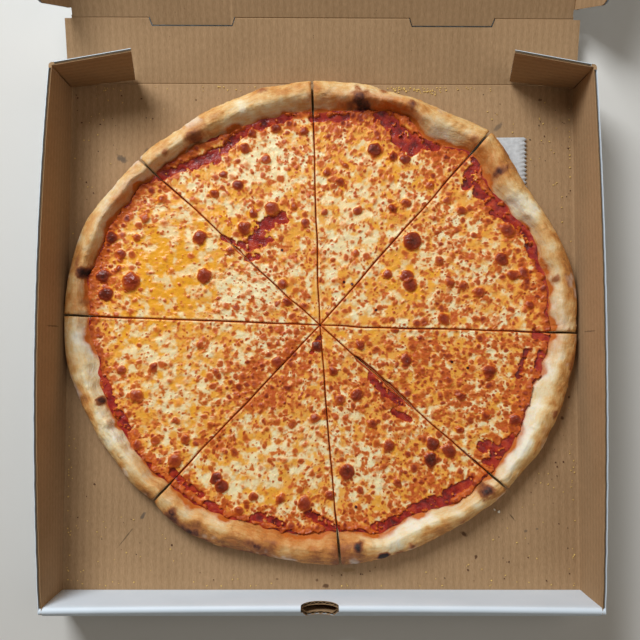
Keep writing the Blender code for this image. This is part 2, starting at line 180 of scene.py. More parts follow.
# Fluting: recycled semi-chemical medium, browner and coarser than the liners. It is pressed into waves and
# glued between them, and shows only at cut edges.
def fluting_medium():
    made, tree, shader = new_material("corrugating medium", 0.95)
    place = add(tree, "ShaderNodeAttribute", attribute_name="board_place").outputs["Vector"]
    fibres = add(tree, "ShaderNodeTexNoise", {"Vector": place, "Scale": 700.0, "Detail": 3.0}).outputs[0]
    light, dark = linear("#9c7c55"), linear("#6d5336")
    colour = add(tree, "ShaderNodeMix", {0: fibres, 6: dark, 7: light}, data_type="RGBA").outputs[2]
    tree.links.new(colour, shader.inputs["Base Color"])
    return made


KRAFT = kraft_liner("kraft liner", "#bf9b75", "#8a6c4a")
WHITE = white_liner()
MEDIUM = fluting_medium()


def extruded_verts(grown):
    """The vertices among what an extrusion made."""
    return [v for v in grown if isinstance(v, bmesh.types.BMVert)]


def mesh_from(bm, name):
    """Turns a bmesh into a mesh and frees it."""
    mesh = bpy.data.meshes.new(name)
    bm.to_mesh(mesh)
    bm.free()
    return mesh


def prism(points, depth):
    """A bmesh: the closed outline through these points, extruded by depth along Z."""
    bm = bmesh.new()
    face = bm.faces.new([bm.verts.new(p) for p in points])
    grown = bmesh.ops.extrude_face_region(bm, geom=[face])["geom"]
    bmesh.ops.translate(bm, vec=(0.0, 0.0, depth), verts=extruded_verts(grown))
    bmesh.ops.recalc_face_normals(bm, faces=bm.faces[:])
    return bm


def slice_across(bm, axis, places):
    """Cuts all faces of a bmesh by planes across one axis, and keeps both sides."""
    normal = Vector([1.0 if i == axis else 0.0 for i in range(3)])
    for place in places:
        geom = bm.verts[:] + bm.edges[:] + bm.faces[:]
        bmesh.ops.bisect_plane(bm, geom=geom, plane_co=normal * place, plane_no=normal)


def clear_outside(bm, outline):
    """Keeps what lies inside a convex outline, whose corners run anticlockwise."""
    for k, (x, y) in enumerate(outline):
        after = outline[(k + 1) % len(outline)]
        edge = Vector((after[0] - x, after[1] - y, 0.0))
        geom = bm.verts[:] + bm.edges[:] + bm.faces[:]
        out = Vector((edge.y, -edge.x, 0.0)).normalized()
        bmesh.ops.bisect_plane(bm, geom=geom, plane_co=(x, y, 0.0), plane_no=out, clear_outer=True)


def multiples(low, high, step):
    """The multiples of step that lie between low and high."""
    return [k * step for k in range(math.floor(low / step) + 1, math.ceil(high / step))]


def fluting_sheet(outline, bends):
    """The wavy middle sheet inside a convex outline, with its flutes along Y."""
    xs = [p[0] for p in outline]
    ys = [p[1] for p in outline]
    bm = bmesh.new()
    count = round((max(xs) - min(xs)) / FLUTE_PITCH * 8)
    bmesh.ops.create_grid(bm, x_segments=count, y_segments=1, size=1.0)
    for vert in bm.verts:
        x = min(xs) + (vert.co.x + 1.0) / 2 * (max(xs) - min(xs))
        y = min(ys) + (vert.co.y + 1.0) / 2 * (max(ys) - min(ys))
        vert.co = (x, y, 0.0)
    clear_outside(bm, outline)
    slice_across(bm, 1, bends)
    wave = (BOARD - 2 * LINER - FLUTING) / 2 - SHEET_CLEARANCE
    for vert in bm.verts:
        vert.co.z = -BOARD / 2 + FLUTING / 2 + wave * math.sin(2 * math.pi * vert.co.x / FLUTE_PITCH)
    bmesh.ops.recalc_face_normals(bm, faces=bm.faces[:])
    bmesh.ops.solidify(bm, geom=bm.faces[:], thickness=FLUTING)
    bmesh.ops.recalc_face_normals(bm, faces=bm.faces[:])
    return bm


def board_mesh(outline, bends=(), cores=None):
    """A flat panel with its flutes along Y: kraft liner at z = 0, white liner at z = -BOARD, fluting between.
    outline runs anticlockwise. bends are the places along Y where the panel can bend. cores are the
    convex outlines that the fluting fills, where the panel's own outline isn't convex."""
    parts = []
    xs = [p[0] for p in outline]
    for index, top in ((0, 0.0), (1, -BOARD + LINER)):
        bm = prism([(x, y, top) for x, y in outline], -LINER)
        step = FLUTE_PITCH / 4 if index == 0 else FLUTE_PITCH
        slice_across(bm, 0, multiples(min(xs), max(xs), step))
        slice_across(bm, 1, bends)
        if index == 0:
            for vert in bm.verts:
                if vert.co.z > -LINER / 2:
                    vert.co.z -= WASHBOARD * (0.5 + 0.5 * math.cos(2 * math.pi * vert.co.x / FLUTE_PITCH))
        parts.append((bm, index))
    for core in cores or [outline]:
        parts.append((fluting_sheet(core, bends), 2))
    joined = bmesh.new()
    for bm, index in parts:
        for face in bm.faces:
            face.material_index = index
        mesh = mesh_from(bm, "part")
        joined.from_mesh(mesh)
        bpy.data.meshes.remove(mesh)
    return joined


def mesh_places(mesh):
    places = np.zeros(len(mesh.vertices) * 3)
    mesh.vertices.foreach_get("co", places)
    return places.reshape(-1, 3)


def set_places(mesh, places):
    mesh.vertices.foreach_set("co", np.asarray(places, dtype=np.float32).ravel())
    mesh.update()


def facing_out(mesh):
    """Turns every face of a mesh of closed shells to point outwards."""
    bm = bmesh.new()
    bm.from_mesh(mesh)
    bmesh.ops.recalc_face_normals(bm, faces=bm.faces[:])
    bm.to_mesh(mesh)
    bm.free()


def finish_piece(obj, body, slot, *nodes):
    """Puts a piece in the scene on its body."""
    bpy.context.scene.collection.objects.link(obj)
    if body:
        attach(obj, body)
    if nodes:
        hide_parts(*nodes)
    return obj


def board_piece(name, bm, shape, kraft=KRAFT, seed=0.0):
    """An object from a flat panel's bmesh. shape maps its places, an array, to where they are in the box."""
    mesh = mesh_from(bm, name)
    flat = mesh_places(mesh)
    record = mesh.attributes.new("board_place", "FLOAT_VECTOR", "POINT")
    record.data.foreach_set("vector", (flat + (0.0, 0.0, seed)).astype(np.float32).ravel())
    set_places(mesh, shape(flat))
    facing_out(mesh)
    for surface in (kraft, WHITE, MEDIUM):
        mesh.materials.append(surface)
    mesh.shade_smooth()
    mesh.set_sharp_from_angle(angle=math.radians(40.0))
    return bpy.data.objects.new(name, mesh)


def along_path(stations):
    """A shape that bends a panel: its Y follows a path of (first, second) places in a plane, its Z stands off
    the path to the left of travel. Returns the two places and where each station lies along the path."""
    path = np.array(stations)
    steps = np.diff(path, axis=0)
    lengths = np.hypot(steps[:, 0], steps[:, 1])
    marks = np.concatenate([[0.0], np.cumsum(lengths)])
    normals = np.column_stack([-steps[:, 1], steps[:, 0]]) / lengths[:, None]
    corner = np.vstack([normals[:1], normals[:-1] + normals[1:], normals[-1:]])
    corner /= np.hypot(corner[:, 0], corner[:, 1])[:, None]

    def bend(s, off):
        first = np.interp(s, marks, path[:, 0]) + off * np.interp(s, marks, corner[:, 0])
        second = np.interp(s, marks, path[:, 1]) + off * np.interp(s, marks, corner[:, 1])
        return first, second

    return bend, marks


# Tray: floor and side walls are one folded board with its flutes along Y. The walls bow out at mid-length.
# It shows old grey scuffs, brown sauce spots and crumbs, as the kraft side does in use.
TRAY_HALF_WIDTH = 228.5 * MM
TRAY_HALF_LENGTH = 226.0 * MM
WALL_TOP = 57.0 * MM
SIDE_WALL_END = 223.9 * MM
FLOOR_END = 227.9 * MM
LEFT_BOW = 7.5 * MM
RIGHT_BOW = 5.0 * MM
BACK_FOLD_Y = 228.6 * MM
FRONT_START_Y = -229.5 * MM
GREY, SAUCE_SPOT, SCRATCH, GREASE = "#5a5148", "#4e2f1c", "#4a3c2c", "#8a6a3e"

# Each mark: its pixel, its length and width in millimetres, its turn in degrees, its strength and its tint
FLOOR_MARKS = (
    (122, 159, 13, 7, -35, 0.75, GREY),
    (498, 127, 14, 5, 45, 0.55, GREY),
    (143, 516, 9, 4, 60, 0.75, GREY),
    (126, 537, 26, 1.6, 52, 0.6, SCRATCH),
    (512, 517, 11, 1.4, -50, 0.75, SCRATCH),
    (526, 531, 4, 3.4, 20, 0.6, GREY),
    (537, 529, 3.4, 2.4, 0, 0.55, GREY),
    (464, 534, 8, 4.4, -35, 0.85, SAUCE_SPOT),
    (476, 557, 3.4, 4.6, 10, 0.85, SAUCE_SPOT),
    (326, 586, 7, 4.6, 0, 0.8, SAUCE_SPOT),
    (317, 580, 3, 3, 0, 0.7, SAUCE_SPOT),
    (277, 579, 3.4, 2.2, 0, 0.5, SAUCE_SPOT),
    (540, 100, 5, 3, 20, 0.7, SAUCE_SPOT),
    (348, 570, 15, 5, 0, 0.5, GREASE),
    (562, 418, 4, 4.6, 30, 0.8, SAUCE_SPOT),
    (569, 397, 2.6, 3, 0, 0.8, SAUCE_SPOT),
    (147, 150, 6, 4, 40, 0.4, GREY),
    (196, 100, 2.4, 2, 0, 0.8, SAUCE_SPOT),
)


def mark_on(height, rows):
    """The marks with their pixels turned to places at that height."""
    found = []
    for u, v, length, width, turn, strength, tint in rows:
        x, y = under_pixel(u, v, height)
        radii = (length / 2 * MM, width / 2 * MM, 2 * MM)
        found.append(((x, y, height), radii, math.radians(turn), strength, tint))
    return found


tray_marks = mark_on(BOARD, FLOOR_MARKS)
WALL_SCRATCH_Z = 30 * MM
WALL_SCRATCH_X = 233 * MM
for side, pixel in ((-1, (52, 326)), (1, (590, 331))):
    _, y = under_pixel(*pixel, WALL_SCRATCH_Z)
    place = (side * WALL_SCRATCH_X, y, WALL_SCRATCH_Z)
    tray_marks.append((place, (9 * MM, 0.9 * MM, 15 * MM), 0.1, 0.55, SCRATCH))
TRAY_KRAFT = kraft_liner("kraft liner of the tray", "#bf9b75", "#8a6c4a", tray_marks)


def tray_section(offset, rounding):
    """Down the left wall, over the floor and up the right wall, at an offset under the inner surface."""
    half = TRAY_HALF_WIDTH + offset
    low = BOARD - offset
    path = [(-half, WALL_TOP), (-half, low + rounding)]
    path += [(-half + rounding * 0.3, low + rounding * 0.3), (-half + rounding, low)]
    path += [(half - rounding, low), (half - rounding * 0.3, low + rounding * 0.3), (half, low + rounding)]
    path += [(half, WALL_TOP)]
    return path


def bow_walls(places):
    """Bows the side walls out and frays their top edges."""
    x, y, z = places.T
    bow = np.where(x < 0, LEFT_BOW, RIGHT_BOW)
    along = 1.0 - np.minimum(1.0, (y / TRAY_HALF_LENGTH) ** 2)
    up = np.clip((z - BOARD) / (WALL_TOP - BOARD), 0.0, 1.0)
    fray = np.sin(y * 410) * np.sin(y * 173 + 1.0) + 0.6 * np.sin(y * 977 + 2.0 * np.sin(y * 61))
    edge = np.clip((z - WALL_TOP + 1.2 * MM) / (1.2 * MM), 0.0, 1.0)
    moved = places.copy()
    moved[:, 0] += np.sign(x) * (bow * along * up + edge * 0.22 * MM * fray)
    moved[:, 2] -= edge * 0.45 * MM * (0.5 + 0.5 * fray)
    return moved


def tray_liner(offset, rounding, relief):
    """A thin liner of the tray as one section, extruded along Y."""
    path = np.array(tray_section(offset, rounding))
    bend, marks = along_path(path)
    stops = set(marks)
    if relief:
        stops |= set(multiples(0.0, marks[-1], FLUTE_PITCH / 4))
    stops = np.array(sorted(stops))
    lift = relief * (0.5 + 0.5 * np.cos(2 * math.pi * (stops - marks[-1] / 2) / FLUTE_PITCH))
    top = np.column_stack(bend(stops, -lift))
    back = np.column_stack(bend(marks[::-1], np.full(len(marks), -LINER)))
    bm = prism([(x, z, 0.0) for x, z in np.vstack([top, back])], FLOOR_END - FRONT_START_Y)
    slice_across(bm, 2, multiples(0.0, FLOOR_END - FRONT_START_Y, 5 * MM))
    return bm


def stand_up(places):
    """Turns a section drawn in X and Y, and extruded along Z, to stand in X and Z and run along Y. The walls
    end a little before the floor does."""
    wall = np.clip((places[:, 1] - BOARD) / (4 * MM), 0.0, 1.0)
    shrink = 1.0 - wall * (FLOOR_END - SIDE_WALL_END) / (FLOOR_END - FRONT_START_Y)
    return np.column_stack([places[:, 0], FRONT_START_Y + places[:, 2] * shrink, places[:, 1]])


def tray_shape(places):
    return bow_walls(stand_up(places))


def tray_record(obj, seed):
    """The board_place of a tray liner: across the flutes it is the way along the section."""
    places = mesh_places(obj.data)
    x, y, z = places.T
    wall = np.maximum(z - BOARD, 0.0)
    across = x + np.sign(x) * wall
    record = np.column_stack([across, y, np.full(len(x), seed)])
    obj.data.attributes["board_place"].data.foreach_set("vector", record.astype(np.float32).ravel())


inner = board_piece("tray_inner_liner", tray_liner(0.0, 1.2 * MM, WASHBOARD), tray_shape, TRAY_KRAFT)
tray_record(inner, 0.0)
finish_piece(inner, "tray", "kraft_board", "tray")

outer_bm = tray_liner(BOARD - LINER, 2.0 * MM, 0.0)
for face in outer_bm.faces:
    face.material_index = 1
outer = board_piece("tray_outer_liner", outer_bm, tray_shape)
finish_piece(outer, "tray", "kraft_board")

# The fluting shows only along the tops and ends of the side walls, so it fills the walls and not the floor
for side, name in ((-1, "left_wall_fluting"), (1, "right_wall_fluting")):
    tall = WALL_TOP - BOARD - 0.6 * MM
    length = SIDE_WALL_END - FRONT_START_Y
    wall_outline = [(0.0, 0.0), (tall, 0.0), (tall, length), (0.0, length)]
    bm = fluting_sheet(wall_outline, multiples(0.0, length, 20 * MM))
    for face in bm.faces:
        face.material_index = 2

    def wall_shape(places, side=side):
        x = side * (TRAY_HALF_WIDTH - places[:, 2])
        return bow_walls(np.column_stack([x, FRONT_START_Y + places[:, 1], BOARD + places[:, 0]]))

    finish_piece(board_piece(name, bm, wall_shape), "tray", "kraft_board")


# Front wall: the outer panel rolls over the top and comes down again inside, so its white side shows both
# ways. A round thumb notch is cut through both layers, and shows the gap between them.
FRONT_HALF = 231.2 * MM
FRONT_OUTER_KRAFT_Y = -231.5 * MM
FRONT_MEETING_Y = -227.9 * MM
FRONT_INNER_KRAFT_Y = -228.4 * MM
FRONT_KNEE_Z = 45.0 * MM
FRONT_LEAN_IN = 1.8 * MM
ROLL_RADIUS = 0.08 * MM
NOTCH_X = -2.2 * MM
NOTCH_RADIUS = 15.6 * MM

roll_z = WALL_TOP - BOARD - ROLL_RADIUS
front_path = [(FRONT_OUTER_KRAFT_Y, 0.3 * MM), (FRONT_OUTER_KRAFT_Y, FRONT_KNEE_Z)]
front_path += [(FRONT_MEETING_Y - 2 * ROLL_RADIUS, FRONT_KNEE_Z + 5 * MM)]
for step in range(9):
    turn = math.radians(180.0 - 22.5 * step)
    front_path.append((FRONT_MEETING_Y + ROLL_RADIUS * math.cos(turn), roll_z + ROLL_RADIUS * math.sin(turn)))
front_path += [(FRONT_INNER_KRAFT_Y, BOARD + 0.3 * MM)]
front_bend, front_marks = along_path(front_path)
front_length = front_marks[-1]
roll_start = front_marks[3]


def front_shape(places):
    y, z = front_bend(places[:, 1], -places[:, 2])
    inside = places[:, 1] > roll_start
    up = np.where(inside, z / WALL_TOP, np.clip((z - FRONT_KNEE_Z) / (10 * MM), 0.0, 1.0))
    x = places[:, 0]
    y = y + FRONT_LEAN_IN * up * (1.0 - (x / FRONT_HALF) ** 2)
    ripple = 0.5 * MM * np.sin(x * 21 + 1.0) * np.sin(math.pi * np.clip(z / WALL_TOP, 0.0, 1.0))
    return np.column_stack([x, y + np.where(inside, ripple, 0.0), z])


front_outline = [(-FRONT_HALF, 0.0), (FRONT_HALF, 0.0)]
front_outline += [(FRONT_HALF, front_length), (-FRONT_HALF, front_length)]
front_bends = sorted(set(front_marks[1:-1]) | set(multiples(0.0, front_length, 9 * MM)))
front = board_piece("front_wall", board_mesh(front_outline, front_bends), front_shape, seed=0.1)

cutter_bm = bmesh.new()
bmesh.ops.create_cone(
    cutter_bm,
    cap_ends=True,
    segments=64,
    radius1=NOTCH_RADIUS,
    radius2=NOTCH_RADIUS,
    depth=40 * MM,
    matrix=Matrix.Translation((NOTCH_X, FRONT_MEETING_Y, WALL_TOP)) @ Matrix.Rotation(math.pi / 2, 4, "X"),
)
cutter = bpy.data.objects.new("notch", mesh_from(cutter_bm, "notch"))
finish_piece(front, "tray", "kraft_board")
bpy.context.scene.collection.objects.link(cutter)
cut = front.modifiers.new("notch", "BOOLEAN")
cut.object = cutter
cut.operation = "DIFFERENCE"
graph = bpy.context.evaluated_depsgraph_get()
notched = bpy.data.meshes.new_from_object(front.evaluated_get(graph))
front.modifiers.clear()
front.data = notched
bpy.data.objects.remove(cutter)


# Back wall, lid and lid flaps: flat panels that follow on from the tray over folds. The lid's two tabs are
# cut out of the back wall, where they leave slots.
BACK_WALL_HALF = 231.5 * MM
BACK_WALL_LENGTH = 57.0 * MM
BACK_WALL_ANGLE = math.radians(15.0)
LID_HALF = 225.2 * MM
LID_LENGTH = 446.0 * MM
LID_ANGLE = math.radians(13.0)
TAB_CENTRES = (-117.5 * MM, 116.2 * MM)
TAB_HALF = 38.0 * MM
TAB_DEPTH = 6.0 * MM
TAB_SLOPE = 2.4 * MM
TAB_CLEARANCE = 1.2 * MM
FLAP_DEPTH = 42.0 * MM
FLAP_END_GAP = 8.0 * MM
FLAP_TAPER = 5.0 * MM
FLAP_CORNER = 9.0 * MM
FLAP_ANGLE = math.radians(70.0)
LID_SAG = 1.6 * MM

back_matrix = Matrix.Translation((0.0, BACK_FOLD_Y, BOARD)) @ Matrix.Rotation(BACK_WALL_ANGLE, 4, "X")
lid_fold = back_matrix @ Matrix.Translation((0.0, BACK_WALL_LENGTH, 0.0))
lid_matrix = lid_fold @ Matrix.Rotation(LID_ANGLE, 4, "X")


def placed(matrix, warp=None):
    """A shape that puts a flat panel in its place, after a warp if there is one."""

    def shape(places):
        if warp:
            places = warp(places)
        turned = np.array(matrix)
        return places @ turned[:3, :3].T + turned[:3, 3]

    return shape


def tab_corners(centre, root, tip, grow=0.0):
    """The corners of a tab, or of the slot round it, from left to right."""
    wide = TAB_HALF + grow
    narrow = wide - TAB_SLOPE
    return [(centre - wide, root), (centre - narrow, tip), (centre + narrow, tip), (centre + wide, root)]


far = BACK_WALL_LENGTH - CREASE_GAP
slot_foot = BACK_WALL_LENGTH - TAB_DEPTH - TAB_CLEARANCE
outline = [(-BACK_WALL_HALF, CREASE_GAP), (BACK_WALL_HALF, CREASE_GAP), (BACK_WALL_HALF, far)]
cores = [[(-BACK_WALL_HALF, CREASE_GAP), (BACK_WALL_HALF, CREASE_GAP)]]
cores[0] += [(BACK_WALL_HALF, slot_foot), (-BACK_WALL_HALF, slot_foot)]
right = BACK_WALL_HALF
for centre in reversed(TAB_CENTRES):
    corners = tab_corners(centre, far, slot_foot, grow=TAB_CLEARANCE / 2)
    outline += reversed(corners)
    cores.append([(corners[3][0], slot_foot), (right, slot_foot), (right, far), (corners[3][0], far)])
    right = corners[0][0]
outline.append((-BACK_WALL_HALF, far))
cores.append([(-BACK_WALL_HALF, slot_foot), (right, slot_foot), (right, far), (-BACK_WALL_HALF, far)])
back = board_piece("back_wall_board", board_mesh(outline, cores=cores), placed(back_matrix), seed=0.2)
finish_piece(back, "back_wall", "kraft_board", "back_wall")


def lid_sag(places):
    """The lid dishes a little between its folds."""
    x, y, z = places.T
    inside = np.clip(y / LID_LENGTH, 0.0, 1.0)
    sag = np.sin(math.pi * inside) * np.cos(math.pi / 2 * np.clip(x / LID_HALF, -1.0, 1.0))
    return np.column_stack([x, y, z - LID_SAG * sag])


half = LID_HALF - CREASE_GAP
far = LID_LENGTH - CREASE_GAP
outline = [(half, CREASE_GAP), (half, far), (-half, far), (-half, CREASE_GAP)]
cores = [[(-half, CREASE_GAP), (half, CREASE_GAP), (half, far), (-half, far)]]
for centre in TAB_CENTRES:
    corners = tab_corners(centre, CREASE_GAP, -TAB_DEPTH)
    outline += corners
    cores.append([corners[1], corners[2], corners[3], corners[0]])
lid_bends = multiples(CREASE_GAP, far, LID_LENGTH / 12)
lid = board_piece("lid_board", board_mesh(outline, lid_bends, cores), placed(lid_matrix, lid_sag), seed=0.3)
finish_piece(lid, "lid", "kraft_board", "lid", "lid_tab_left", "lid_tab_right")


def flap_outline(start, end):
    """A lid flap that points along +Y from its fold on X, with tapered ends and round corners."""
    found = [(start, CREASE_GAP), (end, CREASE_GAP)]
    for x, side, first in ((end - FLAP_TAPER, -1.0, 0.0), (start + FLAP_TAPER, 1.0, 90.0)):
        for step in range(7):
            angle = math.radians(first + 15.0 * step)
            found.append((
                x + side * FLAP_CORNER + FLAP_CORNER * math.cos(angle),
                FLAP_DEPTH - FLAP_CORNER + FLAP_CORNER * math.sin(angle),
            ))
    return found


def swapped(places):
    """Swaps X and Y, for a flap whose flutes run along its fold."""
    return places[:, (1, 0, 2)]


side_span = (FLAP_END_GAP, LID_LENGTH - FLAP_END_GAP)
front_half = LID_HALF - FLAP_END_GAP
LID_FLAPS = (
    ("lid_flap_left", side_span, (-LID_HALF, 0.0, 0.0), 90.0, True),
    ("lid_flap_right", (-side_span[1], -side_span[0]), (LID_HALF, 0.0, 0.0), -90.0, True),
    ("lid_flap_front", (-front_half, front_half), (0.0, LID_LENGTH, 0.0), 0.0, False),
)
flap_folds = {}
for name, span, place, turn, along_fold in LID_FLAPS:
    fold = lid_matrix @ Matrix.Translation(place) @ Matrix.Rotation(math.radians(turn), 4, "Z")
    flap_folds[name] = (fold, span)
    outline = flap_outline(*span)
    if along_fold:
        outline = [(y, x) for x, y in reversed(outline)]
    matrix = fold @ Matrix.Rotation(FLAP_ANGLE, 4, "X")
    shape = placed(matrix, swapped if along_fold else None)
    flap = board_piece(f"{name}_board", board_mesh(outline), shape, seed=0.4 + place[0])
    finish_piece(flap, name, "kraft_board", name)


# Dust flaps: two short panels of the same board, creased on the rear ends of the side walls. Their free ends
# have swung back and warped.
DUST_FOLD_Y = 224.6 * MM
DUST_FOOT_LENGTH = 58.0 * MM
DUST_TOP_LENGTH = 67.0 * MM
DUST_FOOT_SWING = math.radians(5.9)
DUST_TOP_SWING = math.radians(10.3)
DUST_FOOT_Z = 4.0 * MM
DUST_FOOT_RISE = 2.2 * MM

for side, name in ((-1, "dust_flap_left"), (1, "dust_flap_right")):
    tall = WALL_TOP - DUST_FOOT_Z
    long = (DUST_FOOT_LENGTH + DUST_TOP_LENGTH) / 2

    def dust_shape(places, side=side, tall=tall, long=long):
        high = places[:, 0] / tall
        out = places[:, 1] / long
        reach = CREASE_GAP + out * (DUST_FOOT_LENGTH + high * (DUST_TOP_LENGTH - DUST_FOOT_LENGTH))
        swing = DUST_FOOT_SWING + high * (DUST_TOP_SWING - DUST_FOOT_SWING)
        foot = DUST_FOOT_Z + out * DUST_FOOT_RISE
        off = -places[:, 2]
        x = side * (TRAY_HALF_WIDTH - reach * np.cos(swing) + off * np.sin(swing))
        y = DUST_FOLD_Y + reach * np.sin(swing) + off * np.cos(swing)
        return np.column_stack([x, y, foot + high * (WALL_TOP - foot)])

    outline = [(0.0, 0.0), (tall, 0.0), (tall, long), (0.0, long)]
    flat_flap = board_mesh(outline, multiples(0.0, long, 8 * MM))
    flap = board_piece(f"{name}_board", flat_flap, dust_shape, seed=0.7)
    finish_piece(flap, name, "kraft_board", name)


# Folds: the board is crushed along a line and bends there. Each fold is a short strip of board between two
# panels, round outside and pinched inside, bent to the angle given for its joint.
FOLD_LAP = 2.0 * MM
FOLD_INSET = 0.12 * MM
FOLD_PINCH = 0.5 * MM
FOLD_STEPS = 6


def fold_strip(name, matrix, angle, span):
    """The fold along X over a span: the first body's panel lies on -Y, and the second's is turned up by the
    angle."""

    def turned(y, z, by=angle):
        return y * math.cos(by) - z * math.sin(by), y * math.sin(by) + z * math.cos(by)

    deep = BOARD - FOLD_INSET
    section = [(-FOLD_LAP, -FOLD_INSET), (-CREASE_GAP, -FOLD_INSET), turned(0.0, -FOLD_PINCH, angle / 2)]
    section += [turned(CREASE_GAP, -FOLD_INSET), turned(FOLD_LAP, -FOLD_INSET)]
    section += [turned(FOLD_LAP, -deep), turned(CREASE_GAP, -deep)]
    section += [turned(0.0, -deep, angle * (1 - k / FOLD_STEPS)) for k in range(FOLD_STEPS + 1)]
    section += [(-CREASE_GAP, -deep), (-FOLD_LAP, -deep)]
    bm = prism([(y, z, 0.0) for y, z in section], span[1] - span[0])
    slice_across(bm, 2, multiples(0.0, span[1] - span[0], 12 * MM))
    for face in bm.faces:
        y, z, _ = face.calc_center_median()
        depth = -z if y < 0 else -turned(y, z, -angle)[1]
        face.material_index = 1 if depth > BOARD / 2 else 0

    def shape(places):
        local = np.column_stack([span[0] + places[:, 2], places[:, 0], places[:, 1]])
        return placed(matrix)(local)

    strip = board_piece(name, bm, shape, seed=0.8)
    finish_piece(strip, None, "kraft_board")
    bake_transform(strip)


floor_fold = Matrix.Translation((0.0, BACK_FOLD_Y, BOARD))
tray_span = (-TRAY_HALF_WIDTH, TRAY_HALF_WIDTH)
fold_strip("back_fold", floor_fold, BACK_WALL_ANGLE, tray_span)
edges = [-LID_HALF]
for centre in TAB_CENTRES:
    edges += [centre - TAB_HALF - TAB_CLEARANCE / 2, centre + TAB_HALF + TAB_CLEARANCE / 2]
edges.append(LID_HALF)
for k, name in enumerate(("lid_fold_left", "lid_fold_middle", "lid_fold_right")):
    fold_strip(name, lid_fold, LID_ANGLE, (edges[2 * k], edges[2 * k + 1]))
for name, (fold, span) in flap_folds.items():
    fold_strip(f"{name}_fold", fold, FLAP_ANGLE, span)
for side, name in ((-1, "dust_flap_left"), (1, "dust_flap_right")):
    hinge = Vector((side * TRAY_HALF_WIDTH, DUST_FOLD_Y, 0.0))
    axes = Matrix(((0.0, 0.0, -side), (0.0, 1.0, 0.0), (side, 0.0, 0.0))).to_4x4()
    span = sorted((side * DUST_FOOT_Z, side * WALL_TOP))
    swing = (DUST_FOOT_SWING + DUST_TOP_SWING) / 2
    fold_strip(f"{name}_fold", Matrix.Translation(hinge) @ axes, math.pi / 2 - swing, span)


# Deli paper: a thin grey greaseproof sheet, torn off a roll on a toothed blade. It lies loose under the
# pizza, with its corner a little lifted.
PAPER_LEFT = -105.0 * MM
PAPER_RIGHT = 185.6 * MM
PAPER_BACK = 179.6 * MM
PAPER_DEPTH = 290.0 * MM
PAPER_THICKNESS = 0.3 * MM
TOOTH_PITCH = 3.9 * MM
TOOTH_DEPTH = 2.6 * MM


def paper_material():
    made, tree, shader = new_material("greaseproof deli paper", 0.55)
    where = add(tree, "ShaderNodeTexCoord").outputs["Object"]
    fibres = add(tree, "ShaderNodeTexNoise", {"Vector": where, "Scale": 260.0, "Detail": 4.0}).outputs[0]
    tone = add(tree, "ShaderNodeMapRange", {0: fibres, 1: 0.3, 2: 0.7}).outputs[0]
    colour = add(
        tree, "ShaderNodeMix", {0: tone, 6: linear("#b9bbbd"), 7: linear("#d4d6d8")}, data_type="RGBA"
    ).outputs[2]
    tree.links.new(colour, shader.inputs["Base Color"])
    bump = add(tree, "ShaderNodeBump", {"Strength": 0.3, "Distance": 0.3 * MM, "Height": fibres})
    tree.links.new(bump.outputs[0], shader.inputs["Normal"])
    return made


teeth = round(PAPER_DEPTH / TOOTH_PITCH)
sheet_bm = bmesh.new()
bmesh.ops.create_grid(sheet_bm, x_segments=48, y_segments=4 * teeth, size=1.0)
for vert in sheet_bm.verts:
    across = (vert.co.x + 1.0) / 2
    down = (vert.co.y + 1.0) / 2
    tooth = abs((down * teeth) % 1.0 - 0.5) * 2
    right = PAPER_RIGHT - TOOTH_DEPTH * tooth
    x = PAPER_LEFT + across * (right - PAPER_LEFT)
    y = PAPER_BACK - PAPER_DEPTH + down * PAPER_DEPTH
    corner = max(0.0, across - 0.93) / 0.07 * max(0.0, down - 0.8) / 0.2
    wave = 0.15 * MM * (1.0 + math.sin(x * 70 + y * 40) * math.sin(y * 90))
    vert.co = (x, y, BOARD + PAPER_THICKNESS + wave * (across > 0.85) + 1.3 * MM * corner)
bmesh.ops.recalc_face_normals(sheet_bm, faces=sheet_bm.faces[:])
bmesh.ops.solidify(sheet_bm, geom=sheet_bm.faces[:], thickness=0.12 * MM)
bmesh.ops.recalc_face_normals(sheet_bm, faces=sheet_bm.faces[:])
paper_mesh = mesh_from(sheet_bm, "deli_paper_sheet")
paper_mesh.materials.append(paper_material())
paper_mesh.shade_smooth()
finish_piece(bpy.data.objects.new("deli_paper_sheet", paper_mesh), "tray", "deli_paper", "paper")


# Crust: a thin round of yeast dough with a puffed rim, baked on a stone and cut in eight with a wheel. The
# rim is pale inside and tan outside, with dark blisters. Each slice is a piece, and its cut ends show crumb.
PIZZA_CENTRE = (-2.1 * MM, 8.2 * MM)
PIZZA_FOOT_Z = 4.0 * MM
TIP_RADIUS = 0.8 * MM
DOUGH = 3.4 * MM
RIM_HEIGHT = 18.0 * MM
RIM_SIDE_DROP = 3.4 * MM
RIM_LUMP = 0.9 * MM
RIM_EQUATOR = 6.5 * MM
TOE_RISE = 1.6 * MM
RIM_ROUND = 14.0 * MM
RIM_RADIUS = 225.0 * MM
CUT_HALF_GAP = 0.3 * MM
RIM_HALF_GAP = 1.0 * MM
CUT_WANDER = 1.2 * MM
TOE_RAMP = 12 * MM
BLISTER_Z = PIZZA_FOOT_Z + 16 * MM

# The walls hold the rim back: at the sides its lumps die away between the first two places, and it is
# squeezed between the next two, as it is against the back wall
SIDE_CALM = (208 * MM, 218 * MM)
SIDE_PRESS = (224 * MM, 229.4 * MM)
BACK_PRESS = (222 * MM, 228.2 * MM)

# What one pixel spans at the pizza's height, and how much coarser the meshes are in a quick build
PIXEL = 0.889 * MM
FINE = 1.0

